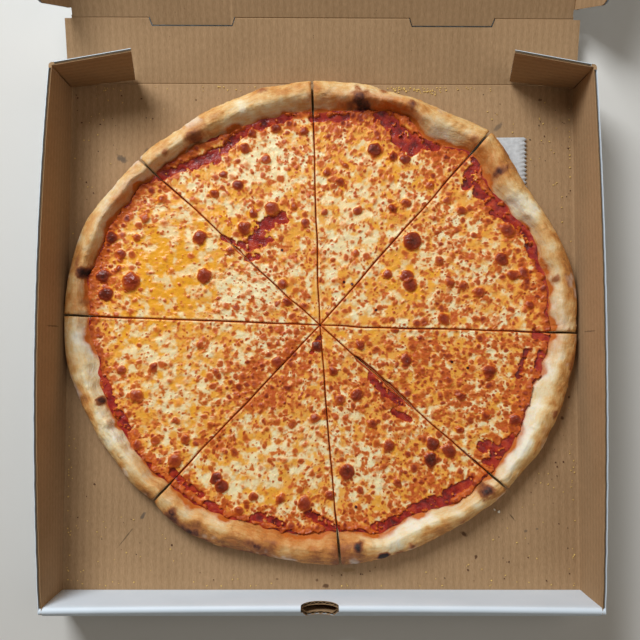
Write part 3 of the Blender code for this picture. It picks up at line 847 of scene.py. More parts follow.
# Each slice: its name, the angle of its first cut in degrees, and four radii in millimetres of the rim's
# outside and of its inner foot, evenly spaced from that cut on
SLICES = (
    ("right_back", -1.7, (229.1, 231.2, 226.6, 223.1), (204.0, 205.0, 204.7, 195.5)),
    ("back_right", 48.7, (230.7, 224.2, 220.4, 219.8), (205.4, 194.7, 204.4, 195.0)),
    ("back_left", 92.0, (221.6, 218.8, 217.5, 216.4), (191.8, 190.7, 191.3, 195.6)),
    ("left_back", 137.6, (219.7, 223.4, 228.7, 228.3), (199.8, 204.5, 207.2, 209.6)),
    ("left_front", 177.9, (229.2, 226.1, 219.9, 215.3), (204.9, 198.8, 198.7, 196.7)),
    ("front_left", 226.7, (214.5, 213.4, 209.4, 208.3), (194.0, 188.6, 184.3, 183.7)),
    ("front_right", 274.9, (211.4, 211.5, 211.3, 214.5), (181.4, 188.0, 186.0, 196.3)),
    ("right_front", 318.8, (218.8, 222.5, 225.7, 227.6), (198.1, 199.1, 197.0, 198.8)),
)

# Where the food tore along a cut: the number of the cut, from and to which radius, and half the gap, in
# millimetres
TEARS = ((7, 40, 112, 1.5), (3, 92, 106, 1.3), (7, 178, 190, 0.5))

# The rim's colour round the pizza: angle, how baked it is inside and outside, and how much orange oil it has
RIM_TONES = (
    (-2, 0.30, 0.55, 0.5), (5, 0.20, 0.60, 0.2), (15, 0.42, 0.66, 0.1), (24, 0.28, 0.60, 0.1),
    (31, 0.05, 0.50, 0.0), (37, 0.20, 0.62, 0.2), (42, 0.60, 0.76, 0.6), (50, 0.48, 0.60, 0.5),
    (57, 0.12, 0.50, 0.2), (62, 0.36, 0.50, 0.3), (70, 0.34, 0.46, 1.0), (80, 0.34, 0.48, 1.0),
    (90, 0.30, 0.48, 0.5), (100, 0.28, 0.48, 0.1), (115, 0.30, 0.48, 0.1), (130, 0.26, 0.48, 0.2),
    (138, 0.24, 0.46, 0.4), (147, 0.26, 0.46, 0.8), (158, 0.30, 0.44, 0.1), (168, 0.48, 0.72, 0.3),
    (176, 0.44, 0.60, 0.5), (182, 0.16, 0.40, 0.1), (192, 0.12, 0.55, 0.0), (200, 0.28, 0.60, 0.1),
    (210, 0.08, 0.50, 0.0), (218, 0.34, 0.62, 0.1), (230, 0.50, 0.74, 0.2), (245, 0.34, 0.72, 0.1),
    (256, 0.66, 0.80, 0.3), (268, 0.64, 0.78, 0.4), (278, 0.62, 0.76, 0.2), (288, 0.12, 0.60, 0.0),
    (300, 0.06, 0.56, 0.0), (310, 0.34, 0.60, 0.1), (318, 0.36, 0.55, 0.2), (325, 0.06, 0.50, 0.0),
    (340, 0.02, 0.50, 0.0), (350, 0.12, 0.55, 0.1), (358.3, 0.30, 0.55, 0.5),
)

# Blisters and scorches on the rim: pixel, length round the rim and width across it in millimetres, how far
# they stand up in millimetres, and how dark they are
RIM_BLISTERS = (
    (361, 101, 26, 22, 1.4, 0.95), (411, 105, 12, 9, 0.8, 0.75), (383, 91, 9, 7, 0.5, 0.5),
    (194, 136, 24, 14, 0.9, 0.66), (165, 152, 9, 6, 0.4, 0.5), (262, 90, 12, 6, 0.6, 0.5),
    (216, 116, 10, 7, 0.3, 0.3), (84, 271, 13, 20, 1.4, 1.0), (100, 401, 8, 8, 0.8, 1.0),
    (107, 423, 9, 7, 1.8, 0.35), (82, 301, 8, 8, 0.4, 0.35), (173, 512, 10, 8, 0.8, 0.85),
    (196, 532, 12, 9, 0.8, 0.85), (255, 545, 20, 10, 1.0, 0.85), (232, 541, 12, 7, 0.4, 0.4),
    (295, 531, 10, 10, 1.8, 1.0), (358, 548, 12, 10, 1.8, 1.05), (384, 556, 15, 6, 1.0, 1.4),
    (412, 546, 10, 6, 0.8, 0.62), (486, 492, 15, 13, 1.2, 1.05), (500, 171, 10, 18, 0.8, 0.95),
    (474, 139, 10, 7, 0.4, 0.45), (557, 279, 8, 7, 0.7, 0.55), (556, 414, 12, 6, 0.6, 0.5),
    (570, 330, 8, 5, 0.4, 0.4), (463, 521, 12, 5, 0.5, 0.45), (310, 96, 6, 8, 0.4, 0.3),
    (172, 519, 20, 10, 0.2, 0.85), (188, 533, 24, 11, 0.2, 0.95), (206, 543, 20, 10, 0.1, 0.8),
    (226, 552, 22, 10, 0.1, 0.85), (246, 557, 22, 10, 0.1, 0.95), (264, 560, 14, 9, 0.1, 0.8),
    (345, 557, 16, 7, 0.3, 0.55), (398, 554, 16, 5, 0.2, 0.5), (76, 262, 14, 6, 0.2, 0.45),
    (560, 440, 20, 5, 0.0, 0.3), (574, 370, 26, 5, 0.0, 0.3), (545, 205, 18, 5, 0.0, 0.35),
)


def random_at(i, j, seed):
    """A repeatable random number from 0 to 1 for each whole i, j."""
    mixed = (i * 374761393 + j * 668265263 + seed * 974711) & 0xFFFFFFFF
    mixed = ((mixed ^ (mixed >> 13)) * 1274126177) & 0xFFFFFFFF
    return (mixed ^ (mixed >> 16)) / 0xFFFFFFFF


def cloud(x, y, size, seed, octaves=2):
    """Smooth noise from 0 to 1 at places x, y, with lumps of that size and finer ones on them."""
    total = 0.0
    for octave in range(octaves):
        u, v = x * 2 ** octave / size, y * 2 ** octave / size
        i, j = np.floor(u).astype(np.int64), np.floor(v).astype(np.int64)
        a, b = (u - i) ** 2 * (3 - 2 * (u - i)), (v - j) ** 2 * (3 - 2 * (v - j))
        near = random_at(i, j, seed + octave) * (1 - a) + random_at(i + 1, j, seed + octave) * a
        far_row = random_at(i, j + 1, seed + octave) * (1 - a) + random_at(i + 1, j + 1, seed + octave) * a
        total = total + (near * (1 - b) + far_row * b) / 2 ** octave
    return total / (2 - 2 / 2 ** octaves)


def spots(x, y, pitch, seed, smallest, largest, share):
    """Round spots, one to a cell at most: how far up its dome each place is, and that spot's own number."""
    i, j = np.floor(x / pitch).astype(np.int64), np.floor(y / pitch).astype(np.int64)
    height, number = np.zeros_like(x), np.zeros_like(x)
    for p in (-1, 0, 1):
        for q in (-1, 0, 1):
            a, b = i + p, j + q
            centre_x = (a + 0.1 + 0.8 * random_at(a, b, seed)) * pitch
            centre_y = (b + 0.1 + 0.8 * random_at(a, b, seed + 1)) * pitch
            pick = random_at(a, b, seed + 2)
            radius = smallest + (largest - smallest) * random_at(a, b, seed + 3) ** 2
            away = ((x - centre_x) ** 2 + (y - centre_y) ** 2) / radius ** 2
            dome = np.where(pick < share, np.sqrt(np.clip(1.0 - away, 0.0, 1.0)), 0.0)
            number = np.where(dome > height, random_at(a, b, seed + 4), number)
            height = np.maximum(height, dome)
    return height, number


def smooth(low, high, value):
    """Rises smoothly from 0 at low to 1 at high."""
    t = np.clip((value - low) / (high - low), 0.0, 1.0)
    return t * t * (3 - 2 * t)


def curve_through(values, t):
    """A smooth curve through evenly spaced values, at t from 0 to 1."""
    spans = len(values) - 1
    values = np.array(values)
    place = np.clip(t, 0.0, 1.0) * spans
    k = np.minimum(place.astype(int), spans - 1)
    f = place - k
    before, a = values[np.maximum(k - 1, 0)], values[k]
    b, after = values[k + 1], values[np.minimum(k + 2, spans)]
    bend = 2 * before - 5 * a + 4 * b - after
    twist = 3 * (a - b) + after - before
    return a + 0.5 * f * (b - before + f * (bend + f * twist))


def lumps(angle):
    return (np.sin(5 * angle + 0.7) + np.sin(9 * angle + 2.1) + np.sin(17 * angle + 4.0)) / 3


def rim_of(index, t):
    """At t from 0 to 1 across a slice: the angle, the rim's outer radius and its inner foot's."""
    _, start, outer_radii, inner_radii = SLICES[index]
    after = SLICES[(index + 1) % len(SLICES)]
    end = after[1] if after[1] > start else after[1] + 360.0
    rim = curve_through((*outer_radii, after[2][0]), t) * MM
    toe = curve_through((*inner_radii, after[3][0]), t) * MM
    angle = np.radians(start + t * (end - start))
    toe = toe + 5 * MM * (cloud(angle % (2 * math.pi) * RIM_RADIUS, angle * 0, 13 * MM, 61, 2) - 0.5)
    return angle, rim, toe


def plan(index, t, radius, toe, tear, inset=0.0):
    """The x, y of places at t across a slice and at that radius, between its wandering cuts, and how far each
    is from the nearer cut. tear is the share of a tear's width that this layer has, inset how far it stands
    back from its cuts."""
    start, _, _ = rim_of(index, np.zeros(1))
    end, _, _ = rim_of(index, np.ones(1))
    inner_half = CUT_HALF_GAP * (0.2 + 1.2 * cloud(radius, radius * 0, 17 * MM, 5))
    inner_half = (inner_half + inset) * smooth(-4 * MM, 9 * MM, radius)
    sides = []
    for cut in (index, (index + 1) % len(SLICES)):
        gap = inner_half + (RIM_HALF_GAP - CUT_HALF_GAP) * smooth(toe - 6 * MM, toe + 3 * MM, radius)
        for torn_cut, low, high, half in TEARS:
            if cut == torn_cut:
                torn = smooth(low * MM, (low + 6) * MM, radius) * smooth(high * MM, (high - 6) * MM, radius)
                gap = gap + tear * half * MM * torn * (0.3 + 1.1 * cloud(radius, radius * 0, 9 * MM, 8))
        wander = smooth(6 * MM, 40 * MM, radius) * smooth(toe, toe - 25 * MM, radius)
        shift = CUT_WANDER * wander * (cloud(radius, radius * 0 + cut * 50 * MM, 38 * MM, 3) - 0.5) * 2
        sides.append((gap, shift))
    first = np.arcsin(np.clip((sides[0][1] + sides[0][0]) / radius, -0.4, 0.39))
    last = np.arcsin(np.clip((sides[1][1] - sides[1][0]) / radius, -0.39, 0.4))
    low, high = start + first, end + last
    high = np.maximum(high, low + 1e-4)
    angle = low + t * (high - low)
    away = radius * (high - low) * np.minimum(t, 1.0 - t)
    x = PIZZA_CENTRE[0] + radius * np.cos(angle)
    y = PIZZA_CENTRE[1] + radius * np.sin(angle)
    return x, y, angle, away


def add_floats(mesh, **layers):
    """Writes one number per vertex into named attributes."""
    for name, values in layers.items():
        mesh.attributes.new(name, "FLOAT", "POINT").data.foreach_set("value", values.astype(np.float32))


def pressed_in(value, low, high):
    """Values up to low stay, and larger ones come near high but not past it, as dough against a wall."""
    return np.where(value < low, value, low + (high - low) * np.tanh((value - low) / (high - low)))


def crust_section(angle, rim, toe):
    """The crust's section as radius, height, and share of the baked relief: from the tip over the top of the
    dough and the rim, and back under them."""
    pressed = np.cos(angle) ** 6
    crest = RIM_HEIGHT - RIM_SIDE_DROP * pressed + RIM_LUMP * lumps(angle) * (1 - pressed)
    peak = rim - np.minimum(RIM_ROUND, (rim - toe) * 0.58)
    full, none = np.ones_like(rim), np.zeros_like(rim)
    rows = []
    for k in range(9):
        rows.append((TIP_RADIUS + (toe - TOE_RAMP - TIP_RADIUS) * k / 9, DOUGH * full, none))
    count = round(11 / FINE)
    for k in range(count):
        part = k / count
        rows.append((toe - TOE_RAMP + TOE_RAMP * part, DOUGH + TOE_RISE * part ** 2 * full, none))
    count = round(15 / FINE)
    for k in range(count):
        part = k / count
        rise = 0.5 - 0.5 * math.cos(math.pi * part ** 0.85)
        lift = (crest - DOUGH - TOE_RISE) * rise
        rows.append((toe + (peak - toe) * part, DOUGH + TOE_RISE + lift, min(1.0, part * 2.5) * full))
    count = round(26 / FINE)
    for k in range(count + 1):
        lean = math.radians(90 - 90 * k / count)
        wide, high = math.cos(lean), math.sin(lean)
        rows.append((peak + wide * (rim - peak), RIM_EQUATOR + high * (crest - RIM_EQUATOR), full))
    count = round(9 / FINE)
    for k in range(1, count + 1):
        lean = math.radians(90 * k / count)
        wide, high = math.cos(lean), math.sin(lean)
        foot = RIM_EQUATOR * (1 - min(1.0, high * 1.25)) ** 1.5
        rows.append((peak + wide * (rim - peak), foot * full, (1 - k / count) * full))
    for k in range(1, 7):
        rows.append((peak + (TIP_RADIUS - peak) * k / 6, none, none))
    return [np.array(column) for column in zip(*rows)]


def let_light_in(shader, weight, radius, depth):
    """Lets light sink in and come out nearby, as in crumb, sauce and cheese."""
    shader.inputs["Subsurface Weight"].default_value = weight
    shader.inputs["Subsurface Radius"].default_value = radius
    shader.inputs["Subsurface Scale"].default_value = depth


def stained(tree, colour, amount, steps):
    """A colour with tints over it. Each step is how much it takes for the tint to begin and to be full."""
    for low, high, tint in steps:
        stain = linear(tint)
        share = add(tree, "ShaderNodeMapRange", {0: amount, 1: low, 2: high}).outputs[0]
        colour = add(tree, "ShaderNodeMix", {0: share, 6: colour, 7: stain}, data_type="RGBA").outputs[2]
    return colour


def crust_material():
    made, tree, shader = new_material("baked dough", 0.62)
    let_light_in(shader, 0.12, (1.0, 0.55, 0.3), 2.0 * MM)
    shader.inputs["Specular IOR Level"].default_value = 0.35
    where = add(tree, "ShaderNodeTexCoord").outputs["Object"]
    layer = {}
    for name in ("bake", "char", "orange", "flour", "along_rim", "across_rim"):
        layer[name] = add(tree, "ShaderNodeAttribute", attribute_name=name).outputs["Fac"]
    broad = add(tree, "ShaderNodeTexNoise", {"Vector": where, "Scale": 110.0, "Detail": 4.0}).outputs[0]
    fine = add(tree, "ShaderNodeTexNoise", {"Vector": where, "Scale": 700.0, "Detail": 3.0}).outputs[0]
    tone = add(tree, "ShaderNodeMath", {0: broad, 1: 0.5, 2: -0.25}, operation="MULTIPLY_ADD").outputs[0]
    tone = add(tree, "ShaderNodeMath", {0: fine, 1: 0.22, 2: tone}, operation="MULTIPLY_ADD").outputs[0]
    tone = add(tree, "ShaderNodeMath", {0: tone, 1: -0.31}, operation="ADD").outputs[0]
    skin = add(tree, "ShaderNodeCombineXYZ", {0: layer["along_rim"], 1: layer["across_rim"]}).outputs[0]
    stretched = add(tree, "ShaderNodeMapping", {0: skin, "Scale": (0.25, 1.0, 1.0)}).outputs[0]
    wrinkles = {"Vector": stretched, "Scale": 380.0, "Detail": 4.0, "Distortion": 0.8}
    wrinkles = add(tree, "ShaderNodeTexNoise", wrinkles).outputs[0]
    tone = add(tree, "ShaderNodeMath", {0: wrinkles, 1: 0.4, 2: tone}, operation="MULTIPLY_ADD").outputs[0]
    tone = add(tree, "ShaderNodeMath", {0: tone, 1: layer["bake"]}, operation="ADD").outputs[0]
    ramp = add(tree, "ShaderNodeValToRGB", {0: tone})
    stops = ((0.0, "#f3ead4"), (0.22, "#eed9ac"), (0.45, "#e4b878"), (0.66, "#cd8d49"), (0.9, "#8c5530"))
    band = ramp.color_ramp.elements
    band[0].position, band[0].color = stops[0][0], linear(stops[0][1])
    band[1].position, band[1].color = stops[-1][0], linear(stops[-1][1])
    for place, colour in stops[1:-1]:
        band.new(place).color = linear(colour)
    colour = ramp.outputs[0]
    ragged = add(tree, "ShaderNodeMath", {0: fine, 1: 0.5, 2: 0.75}, operation="MULTIPLY_ADD").outputs[0]
    for name, tint in (("orange", "#c96a22"), ("flour", "#efe6d8")):
        share = add(tree, "ShaderNodeMath", {0: layer[name], 1: ragged}, operation="MULTIPLY").outputs[0]
        over = linear(tint)
        colour = add(tree, "ShaderNodeMix", {0: share, 6: colour, 7: over}, data_type="RGBA").outputs[2]
    scorch = add(tree, "ShaderNodeMath", {0: layer["char"], 1: ragged}, operation="MULTIPLY").outputs[0]
    steps = ((0.08, 0.45, "#ab6a3a"), (0.38, 0.8, "#68392a"), (0.78, 1.05, "#2a1c1a"))
    colour = stained(tree, colour, scorch, steps)
    tree.links.new(colour, shader.inputs["Base Color"])
    relief = add(tree, "ShaderNodeMath", {0: fine, 1: 0.4, 2: wrinkles}, operation="MULTIPLY_ADD").outputs[0]
    bump = add(tree, "ShaderNodeBump", {"Strength": 0.6, "Distance": 0.9 * MM, "Height": relief})
    tree.links.new(bump.outputs[0], shader.inputs["Normal"])
    return made


def crumb_material():
    made, tree, shader = new_material("cut bread crumb", 0.75)
    let_light_in(shader, 0.2, (1.0, 0.6, 0.35), 2.0 * MM)
    where = add(tree, "ShaderNodeTexCoord").outputs["Object"]
    pores = add(tree, "ShaderNodeTexVoronoi", {"Vector": where, "Scale": 420.0}).outputs["Distance"]
    # Painted shade: each pore is painted darker towards its middle, where the bump sinks it in, standing in
    # for the shade inside the hollow
    depth = add(tree, "ShaderNodeMapRange", {0: pores, 1: 0.1, 2: 0.5}).outputs[0]
    colour = add(
        tree, "ShaderNodeMix", {0: depth, 6: linear("#c79a63"), 7: linear("#f0e2c2")}, data_type="RGBA"
    ).outputs[2]
    tree.links.new(colour, shader.inputs["Base Color"])
    bump = add(tree, "ShaderNodeBump", {"Strength": 0.9, "Distance": 0.8 * MM, "Height": depth})
    tree.links.new(bump.outputs[0], shader.inputs["Normal"])
    return made


CRUST, CRUMB = crust_material(), crumb_material()

for index, (name, *_) in enumerate(SLICES):
    columns = round((204 if index in (0, 4) else 178) / FINE)
    t = np.linspace(0.0, 1.0, columns + 1)
    angle, rim, toe = rim_of(index, t)
    radius, height, relief = crust_section(angle, rim, toe)
    rows = len(radius)
    turn = np.broadcast_to(angle, radius.shape)
    step_r = np.gradient(radius, axis=0)
    step_z = np.gradient(height, axis=0)
    length = np.hypot(step_r, step_z) + 1e-9
    along = np.cumsum(length, axis=0)
    along = along - along[9][None, :]
    p, q = turn * RIM_RADIUS, along
    bulge = 2.6 * MM * (cloud(p, q, 24 * MM, 20, 1) - 0.5) + 1.3 * MM * (cloud(p, q, 9 * MM, 21, 2) - 0.5)
    bulge = bulge + 0.45 * MM * (cloud(p, q, 2.6 * MM, 23, 2) - 0.5)
    creased = smooth(0.45, 0.75, cloud(p, q, 30 * MM, 26, 2))
    bulge = bulge + 1.1 * MM * creased * (cloud(p, 4 * q, 9 * MM, 25, 2) - 0.5)
    bubble, _ = spots(p, q, 11 * MM, 30, 1.2 * MM, 4.0 * MM, 0.35)
    bulge = bulge + 0.5 * MM * bubble
    x, y, _, away = plan(index, t[None, :], radius, toe[None, :], 0.0)
    char = np.zeros_like(x)
    for u, v, long, wide, lift, dark in RIM_BLISTERS:
        cx, cy = under_pixel(u, v, BLISTER_Z)
        way = math.atan2(cy - PIZZA_CENTRE[1], cx - PIZZA_CENTRE[0])
        dx, dy = x - cx, y - cy
        out = dx * math.cos(way) + dy * math.sin(way)
        round_rim = dy * math.cos(way) - dx * math.sin(way)
        off = np.hypot(out / (wide * MM / 2), round_rim / (long * MM / 2))
        bulge = bulge + lift * MM * smooth(1.3, 0.3, off)
        off = off + 1.3 * (cloud(x, y, 5 * MM, u, 3) - 0.5)
        char = np.maximum(char, dark * smooth(1.5, 0.0, off) * (0.7 + 0.6 * cloud(x, y, 2.0 * MM, v, 3)))
    bulge = bulge - 0.7 * MM * smooth(1.8 * MM, 0.0, away)
    bulge = bulge - smooth(*SIDE_CALM, np.abs(x)) * (np.maximum(bulge, 0.0) + 0.5 * MM)
    normal_r, normal_z = -step_z / length, step_r / length
    radius = radius + normal_r * bulge * relief
    height = np.maximum(height + normal_z * bulge * relief, 0.0)
    x, y, _, away = plan(index, t[None, :], radius, toe[None, :], 0.0)
    x = np.sign(x) * pressed_in(np.abs(x), *SIDE_PRESS)
    y = pressed_in(y, *BACK_PRESS)

    outside = np.clip((radius - toe) / (rim - toe), 0.0, 1.0)
    degrees = np.degrees(turn)
    tones = np.array(RIM_TONES)
    baked_in, baked_out, oily = (np.interp(degrees, tones[:, 0], tones[:, k]) for k in (1, 2, 3))
    patchy = cloud(p, q, 18 * MM, 40, 3) - 0.5
    mix = smooth(0.3, 0.8, outside + 0.5 * patchy)
    bake = baked_in + (baked_out - baked_in) * mix + 0.5 * patchy
    under = (height < RIM_EQUATOR) & (along > 30 * MM)
    bake = bake + np.where(under, 0.15, 0.0) + 0.12 * smooth(3 * MM, 0.0, away) * smooth(0.2, 0.9, outside)
    orange = oily * smooth(0.9, 0.1, outside) + 1.1 * smooth(0.16, 0.0, outside + 0.4 * patchy)
    orange = orange * (0.5 + cloud(p, q, 6 * MM, 44, 2)) + smooth(toe - 2 * MM, toe - 5 * MM, radius)
    flour = smooth(0.62, 0.8, cloud(p, q, 14 * MM, 47, 3)) * smooth(0.5, 0.9, outside) * 0.5
    char = char + 0.3 * smooth(0.72, 0.9, cloud(p, q, 10 * MM, 50, 3)) * smooth(0.4, 0.9, outside)

    bm = bmesh.new()
    bmesh.ops.create_grid(bm, x_segments=columns, y_segments=rows - 1, size=1.0)
    for face in bm.faces:
        face.smooth = True
    mesh = mesh_from(bm, f"crust_{name}_dough")
    flat = mesh_places(mesh)
    column = np.rint((flat[:, 0] + 1) / 2 * columns).astype(int)
    row = np.rint((flat[:, 1] + 1) / 2 * (rows - 1)).astype(int)
    pick = (row, column)
    set_places(mesh, np.column_stack([x[pick], y[pick], PIZZA_FOOT_Z + height[pick]]))
    add_floats(mesh, bake=bake[pick], char=char[pick], orange=orange[pick], flour=flour[pick])
    add_floats(mesh, along_rim=p[pick], across_rim=q[pick])
    bm = bmesh.new()
    bm.from_mesh(mesh)
    bmesh.ops.remove_doubles(bm, verts=[v for v in bm.verts if v.is_boundary], dist=1e-6)
    ends = bmesh.ops.holes_fill(bm, edges=[e for e in bm.edges if e.is_boundary], sides=0)["faces"]
    for face in ends:
        face.material_index = 1
        face.smooth = False
    bmesh.ops.triangulate(bm, faces=ends)
    bmesh.ops.recalc_face_normals(bm, faces=bm.faces[:])
    bm.to_mesh(mesh)
    bm.free()
    for surface in (CRUST, CRUMB):
        mesh.materials.append(surface)
    finish_piece(bpy.data.objects.new(f"crust_{name}_dough", mesh), "tray", "baked_crust", f"crust_{name}")


# Sauce: a thin layer of cooked tomato on the dough. It shows at the cuts, in patches where the cheese ran
# apart, and as a deep red band along the foot of the rim.
SAUCE = 0.8 * MM
SAUCE_FOOT = DOUGH - 0.05 * MM
SAUCE_TOP = DOUGH + 0.35 * MM + SAUCE


def fan(steps):
    """A closed wedge: a triangle from its tip at 0, 0 to its far side at X = 1, in that many rows, and a flat
    foot at Z = -1."""
    bm = bmesh.new()
    bm.faces.new([bm.verts.new(p) for p in ((0.0, 0.0, 0.0), (1.0, 0.0, 0.0), (1.0, 1.0, 0.0))])
    bmesh.ops.subdivide_edges(bm, edges=bm.edges[:], cuts=steps - 1, use_grid_fill=True)
    edges = [e for e in bm.edges if e.is_boundary]
    grown = bmesh.ops.extrude_edge_only(bm, edges=edges)["geom"]
    bmesh.ops.translate(bm, vec=(0.0, 0.0, -1.0), verts=extruded_verts(grown))
    foot = bmesh.ops.holes_fill(bm, edges=[e for e in bm.edges if e.is_boundary], sides=0)["faces"]
    bmesh.ops.triangulate(bm, faces=foot)
    bmesh.ops.recalc_face_normals(bm, faces=bm.faces[:])
    return bm


def fan_piece(name, index, steps, reach, tear, inset=0.0):
    """A wedge of food over a slice. Returns its mesh, its places, which of them are its top, their radius,
    how far each is from a cut, and the rim's inner foot there. reach is how far it ends from that foot."""
    mesh = mesh_from(fan(steps), name)
    flat = mesh_places(mesh)
    t = flat[:, 1] / np.maximum(flat[:, 0], 1e-9)
    angle, _, toe = rim_of(index, t)
    end = toe + reach * MM + 3 * MM * (cloud(angle * RIM_RADIUS, angle * 0, 9 * MM, 60, 2) - 0.5)
    radius = TIP_RADIUS + flat[:, 0] * (end - TIP_RADIUS)
    x, y, _, away = plan(index, t, radius, toe, tear, inset)
    return mesh, x, y, flat[:, 2] > -0.5, radius, away, toe


def toe_rise(radius, toe):
    """How much the dough has risen towards the rim at that radius."""
    return TOE_RISE * np.clip((radius - toe) / TOE_RAMP + 1.0, 0.0, 1.3) ** 2


def sauce_material():
    made, tree, shader = new_material("cooked tomato sauce", 0.32)
    let_light_in(shader, 0.08, (1.0, 0.25, 0.15), 1.5 * MM)
    where = add(tree, "ShaderNodeTexCoord").outputs["Object"]
    pulp = add(tree, "ShaderNodeTexNoise", {"Vector": where, "Scale": 150.0, "Detail": 6.0}).outputs[0]
    # Partly painted light: the pulp that raises the sauce's bumps also colours it, dark red in the hollows
    # and orange-red on the lumps, so the lumps' paler colour is partly a painted highlight and partly the
    # tomato's own mottling
    ramp = add(tree, "ShaderNodeValToRGB", {0: pulp})
    band = ramp.color_ramp.elements
    band[0].position, band[0].color = 0.3, linear("#5a0f0d")
    band[1].position, band[1].color = 0.72, linear("#c4461f")
    band.new(0.5).color = linear("#a02218")
    tree.links.new(ramp.outputs[0], shader.inputs["Base Color"])
    bump = add(tree, "ShaderNodeBump", {"Strength": 1.0, "Distance": 1.6 * MM, "Height": pulp})
    tree.links.new(bump.outputs[0], shader.inputs["Normal"])
    return made


TOMATO = sauce_material()
for index, (name, *_) in enumerate(SLICES):
    mesh, x, y, top, radius, away, toe = fan_piece(f"sauce_{name}_layer", index, round(112 / FINE), 0.4, 0.6)
    pulp = 0.9 * MM * (cloud(x, y, 4.5 * MM, 70, 3) - 0.5)
    edge = smooth(toe + 1.5 * MM, toe - 3 * MM, radius)
    height = SAUCE_TOP + toe_rise(radius, toe) + pulp * edge - 0.5 * MM * smooth(1.2 * MM, 0.0, away)
    height = height - 0.6 * MM * (1 - edge)
    set_places(mesh, np.column_stack([x, y, PIZZA_FOOT_Z + np.where(top, height, SAUCE_FOOT)]))
    mesh.materials.append(TOMATO)
    mesh.shade_smooth()
    mesh.set_sharp_from_angle(angle=math.radians(60.0))
    finish_piece(bpy.data.objects.new(f"sauce_{name}_layer", mesh), "tray", "tomato_sauce", f"sauce_{name}")


# Cheese: grated mozzarella that melted into one sheet, blistered and browned, with orange oil on it. It
# pulled apart over the sauce in places, and its edges sank a little along the cuts.
CHEESE = 1.9 * MM
CHEESE_FOOT = SAUCE_TOP - 0.5 * MM
CHEESE_Z = 11 * MM
BLISTER_TOP_Z = 12 * MM
WINDOW_Z = 9 * MM

# Where sauce shows between the cheese: a stroke's width in millimetres, and its pixels
SAUCE_STROKES = (
    (6, (160, 176), (190, 163), (225, 149), (236, 136), (262, 125), (291, 117)),
    (9, (192, 163), (215, 158)),
    (13, (383, 116), (398, 132), (412, 146)),
    (7, (412, 142), (436, 147)),
    (5, (312, 120), (347, 118)),
    (9, (477, 162), (467, 186)),
    (8, (478, 190), (495, 208), (522, 226), (538, 248), (543, 270)),
    (8, (526, 232), (536, 256)),
    (9, (282, 219), (262, 226), (256, 238)),
    (6, (270, 240), (252, 246)),
    (5, (224, 238), (249, 249)),
    (6, (249, 257), (258, 256)),
    (7, (121, 197), (112, 221)),
    (5, (104, 379), (113, 404), (129, 428)),
    (5, (173, 473), (188, 486), (202, 495)),
    (6, (207, 503), (221, 514)),
    (6, (254, 516), (282, 524)),
    (7, (310, 515), (335, 528)),
    (7, (376, 527), (397, 521), (420, 506), (434, 500)),
    (8, (440, 500), (452, 494), (469, 483)),
    (8, (482, 446), (499, 452), (514, 440)),
    (5, (484, 462), (500, 462)),
    (4, (526, 352), (519, 376)),
    (4, (541, 352), (535, 372)),
    (6, (534, 335), (552, 338)),
    (6, (372, 376), (384, 392), (400, 402)),
    (5, (393, 412), (410, 420)),
    (4, (320, 338), (312, 352)),
)

# The cheese's tone by region: pixel, reach in pixels, and how much more oil, cream and red it has there
CHEESE_TONES = (
    (265, 150, 20, 0.0, 0.8, -0.3), (245, 168, 14, 0.1, 0.5, 0.0), (300, 160, 16, 0.0, 0.2, 0.2),
    (235, 215, 22, 0.6, 0.1, -0.2), (280, 180, 14, 0.3, 0.4, -0.1), (215, 195, 14, 0.2, 0.3, 0.0),
    (165, 250, 42, 0.6, 0.0, -0.3), (150, 290, 36, 0.6, 0.0, -0.2), (205, 265, 28, 0.5, 0.0, -0.2),
    (180, 295, 28, 0.5, 0.0, -0.2), (250, 290, 26, -0.1, 0.6, 0.0), (160, 200, 16, 0.0, 0.2, 0.1),
    (105, 280, 14, 0.0, -0.2, 0.6), (118, 212, 12, 0.0, -0.2, 0.5), (110, 245, 12, 0.2, 0.0, 0.5),
    (150, 360, 40, 0.4, 0.2, -0.2), (190, 400, 34, 0.4, 0.2, -0.2), (125, 335, 14, 0.5, 0.0, -0.1),
    (255, 360, 30, -0.1, 0.3, 0.1), (290, 340, 24, -0.1, 0.2, 0.3), (250, 480, 32, 0.4, 0.3, -0.3),
    (300, 455, 24, 0.3, 0.3, -0.2), (240, 400, 20, 0.0, -0.1, 0.4), (280, 396, 16, 0.0, -0.3, 1.0),
    (215, 442, 13, 0.0, -0.2, 0.9), (253, 374, 11, 0.0, -0.3, 0.9), (300, 360, 14, 0.0, 0.0, 0.6),
    (330, 430, 24, 0.1, 0.3, 0.0),
    (370, 470, 24, 0.1, 0.4, 0.0), (390, 400, 22, 0.0, -0.1, 0.6), (420, 470, 20, 0.3, -0.1, 0.4),
    (345, 390, 20, 0.1, 0.1, 0.3), (470, 380, 38, 0.1, 0.1, 0.3), (430, 350, 24, 0.1, 0.1, 0.4),
    (510, 400, 18, 0.2, 0.0, 0.3), (500, 340, 24, 0.0, 0.2, 0.2), (405, 275, 24, 0.6, 0.0, -0.2),
    (440, 300, 20, 0.1, 0.2, 0.2), (480, 260, 28, 0.1, 0.2, 0.1), (350, 200, 26, 0.4, 0.3, -0.2),
    (390, 180, 22, 0.4, 0.2, -0.1), (335, 250, 22, 0.1, 0.5, -0.1), (370, 230, 20, 0.3, 0.3, -0.1),
    (395, 130, 22, 0.0, -0.3, 0.7), (440, 160, 18, 0.1, 0.0, 0.4), (340, 130, 14, 0.0, 0.2, 0.4),
    (440, 240, 26, 0.1, 0.3, 0.1), (500, 210, 16, 0.0, -0.1, 0.5), (530, 290, 16, 0.1, 0.0, 0.4),
)

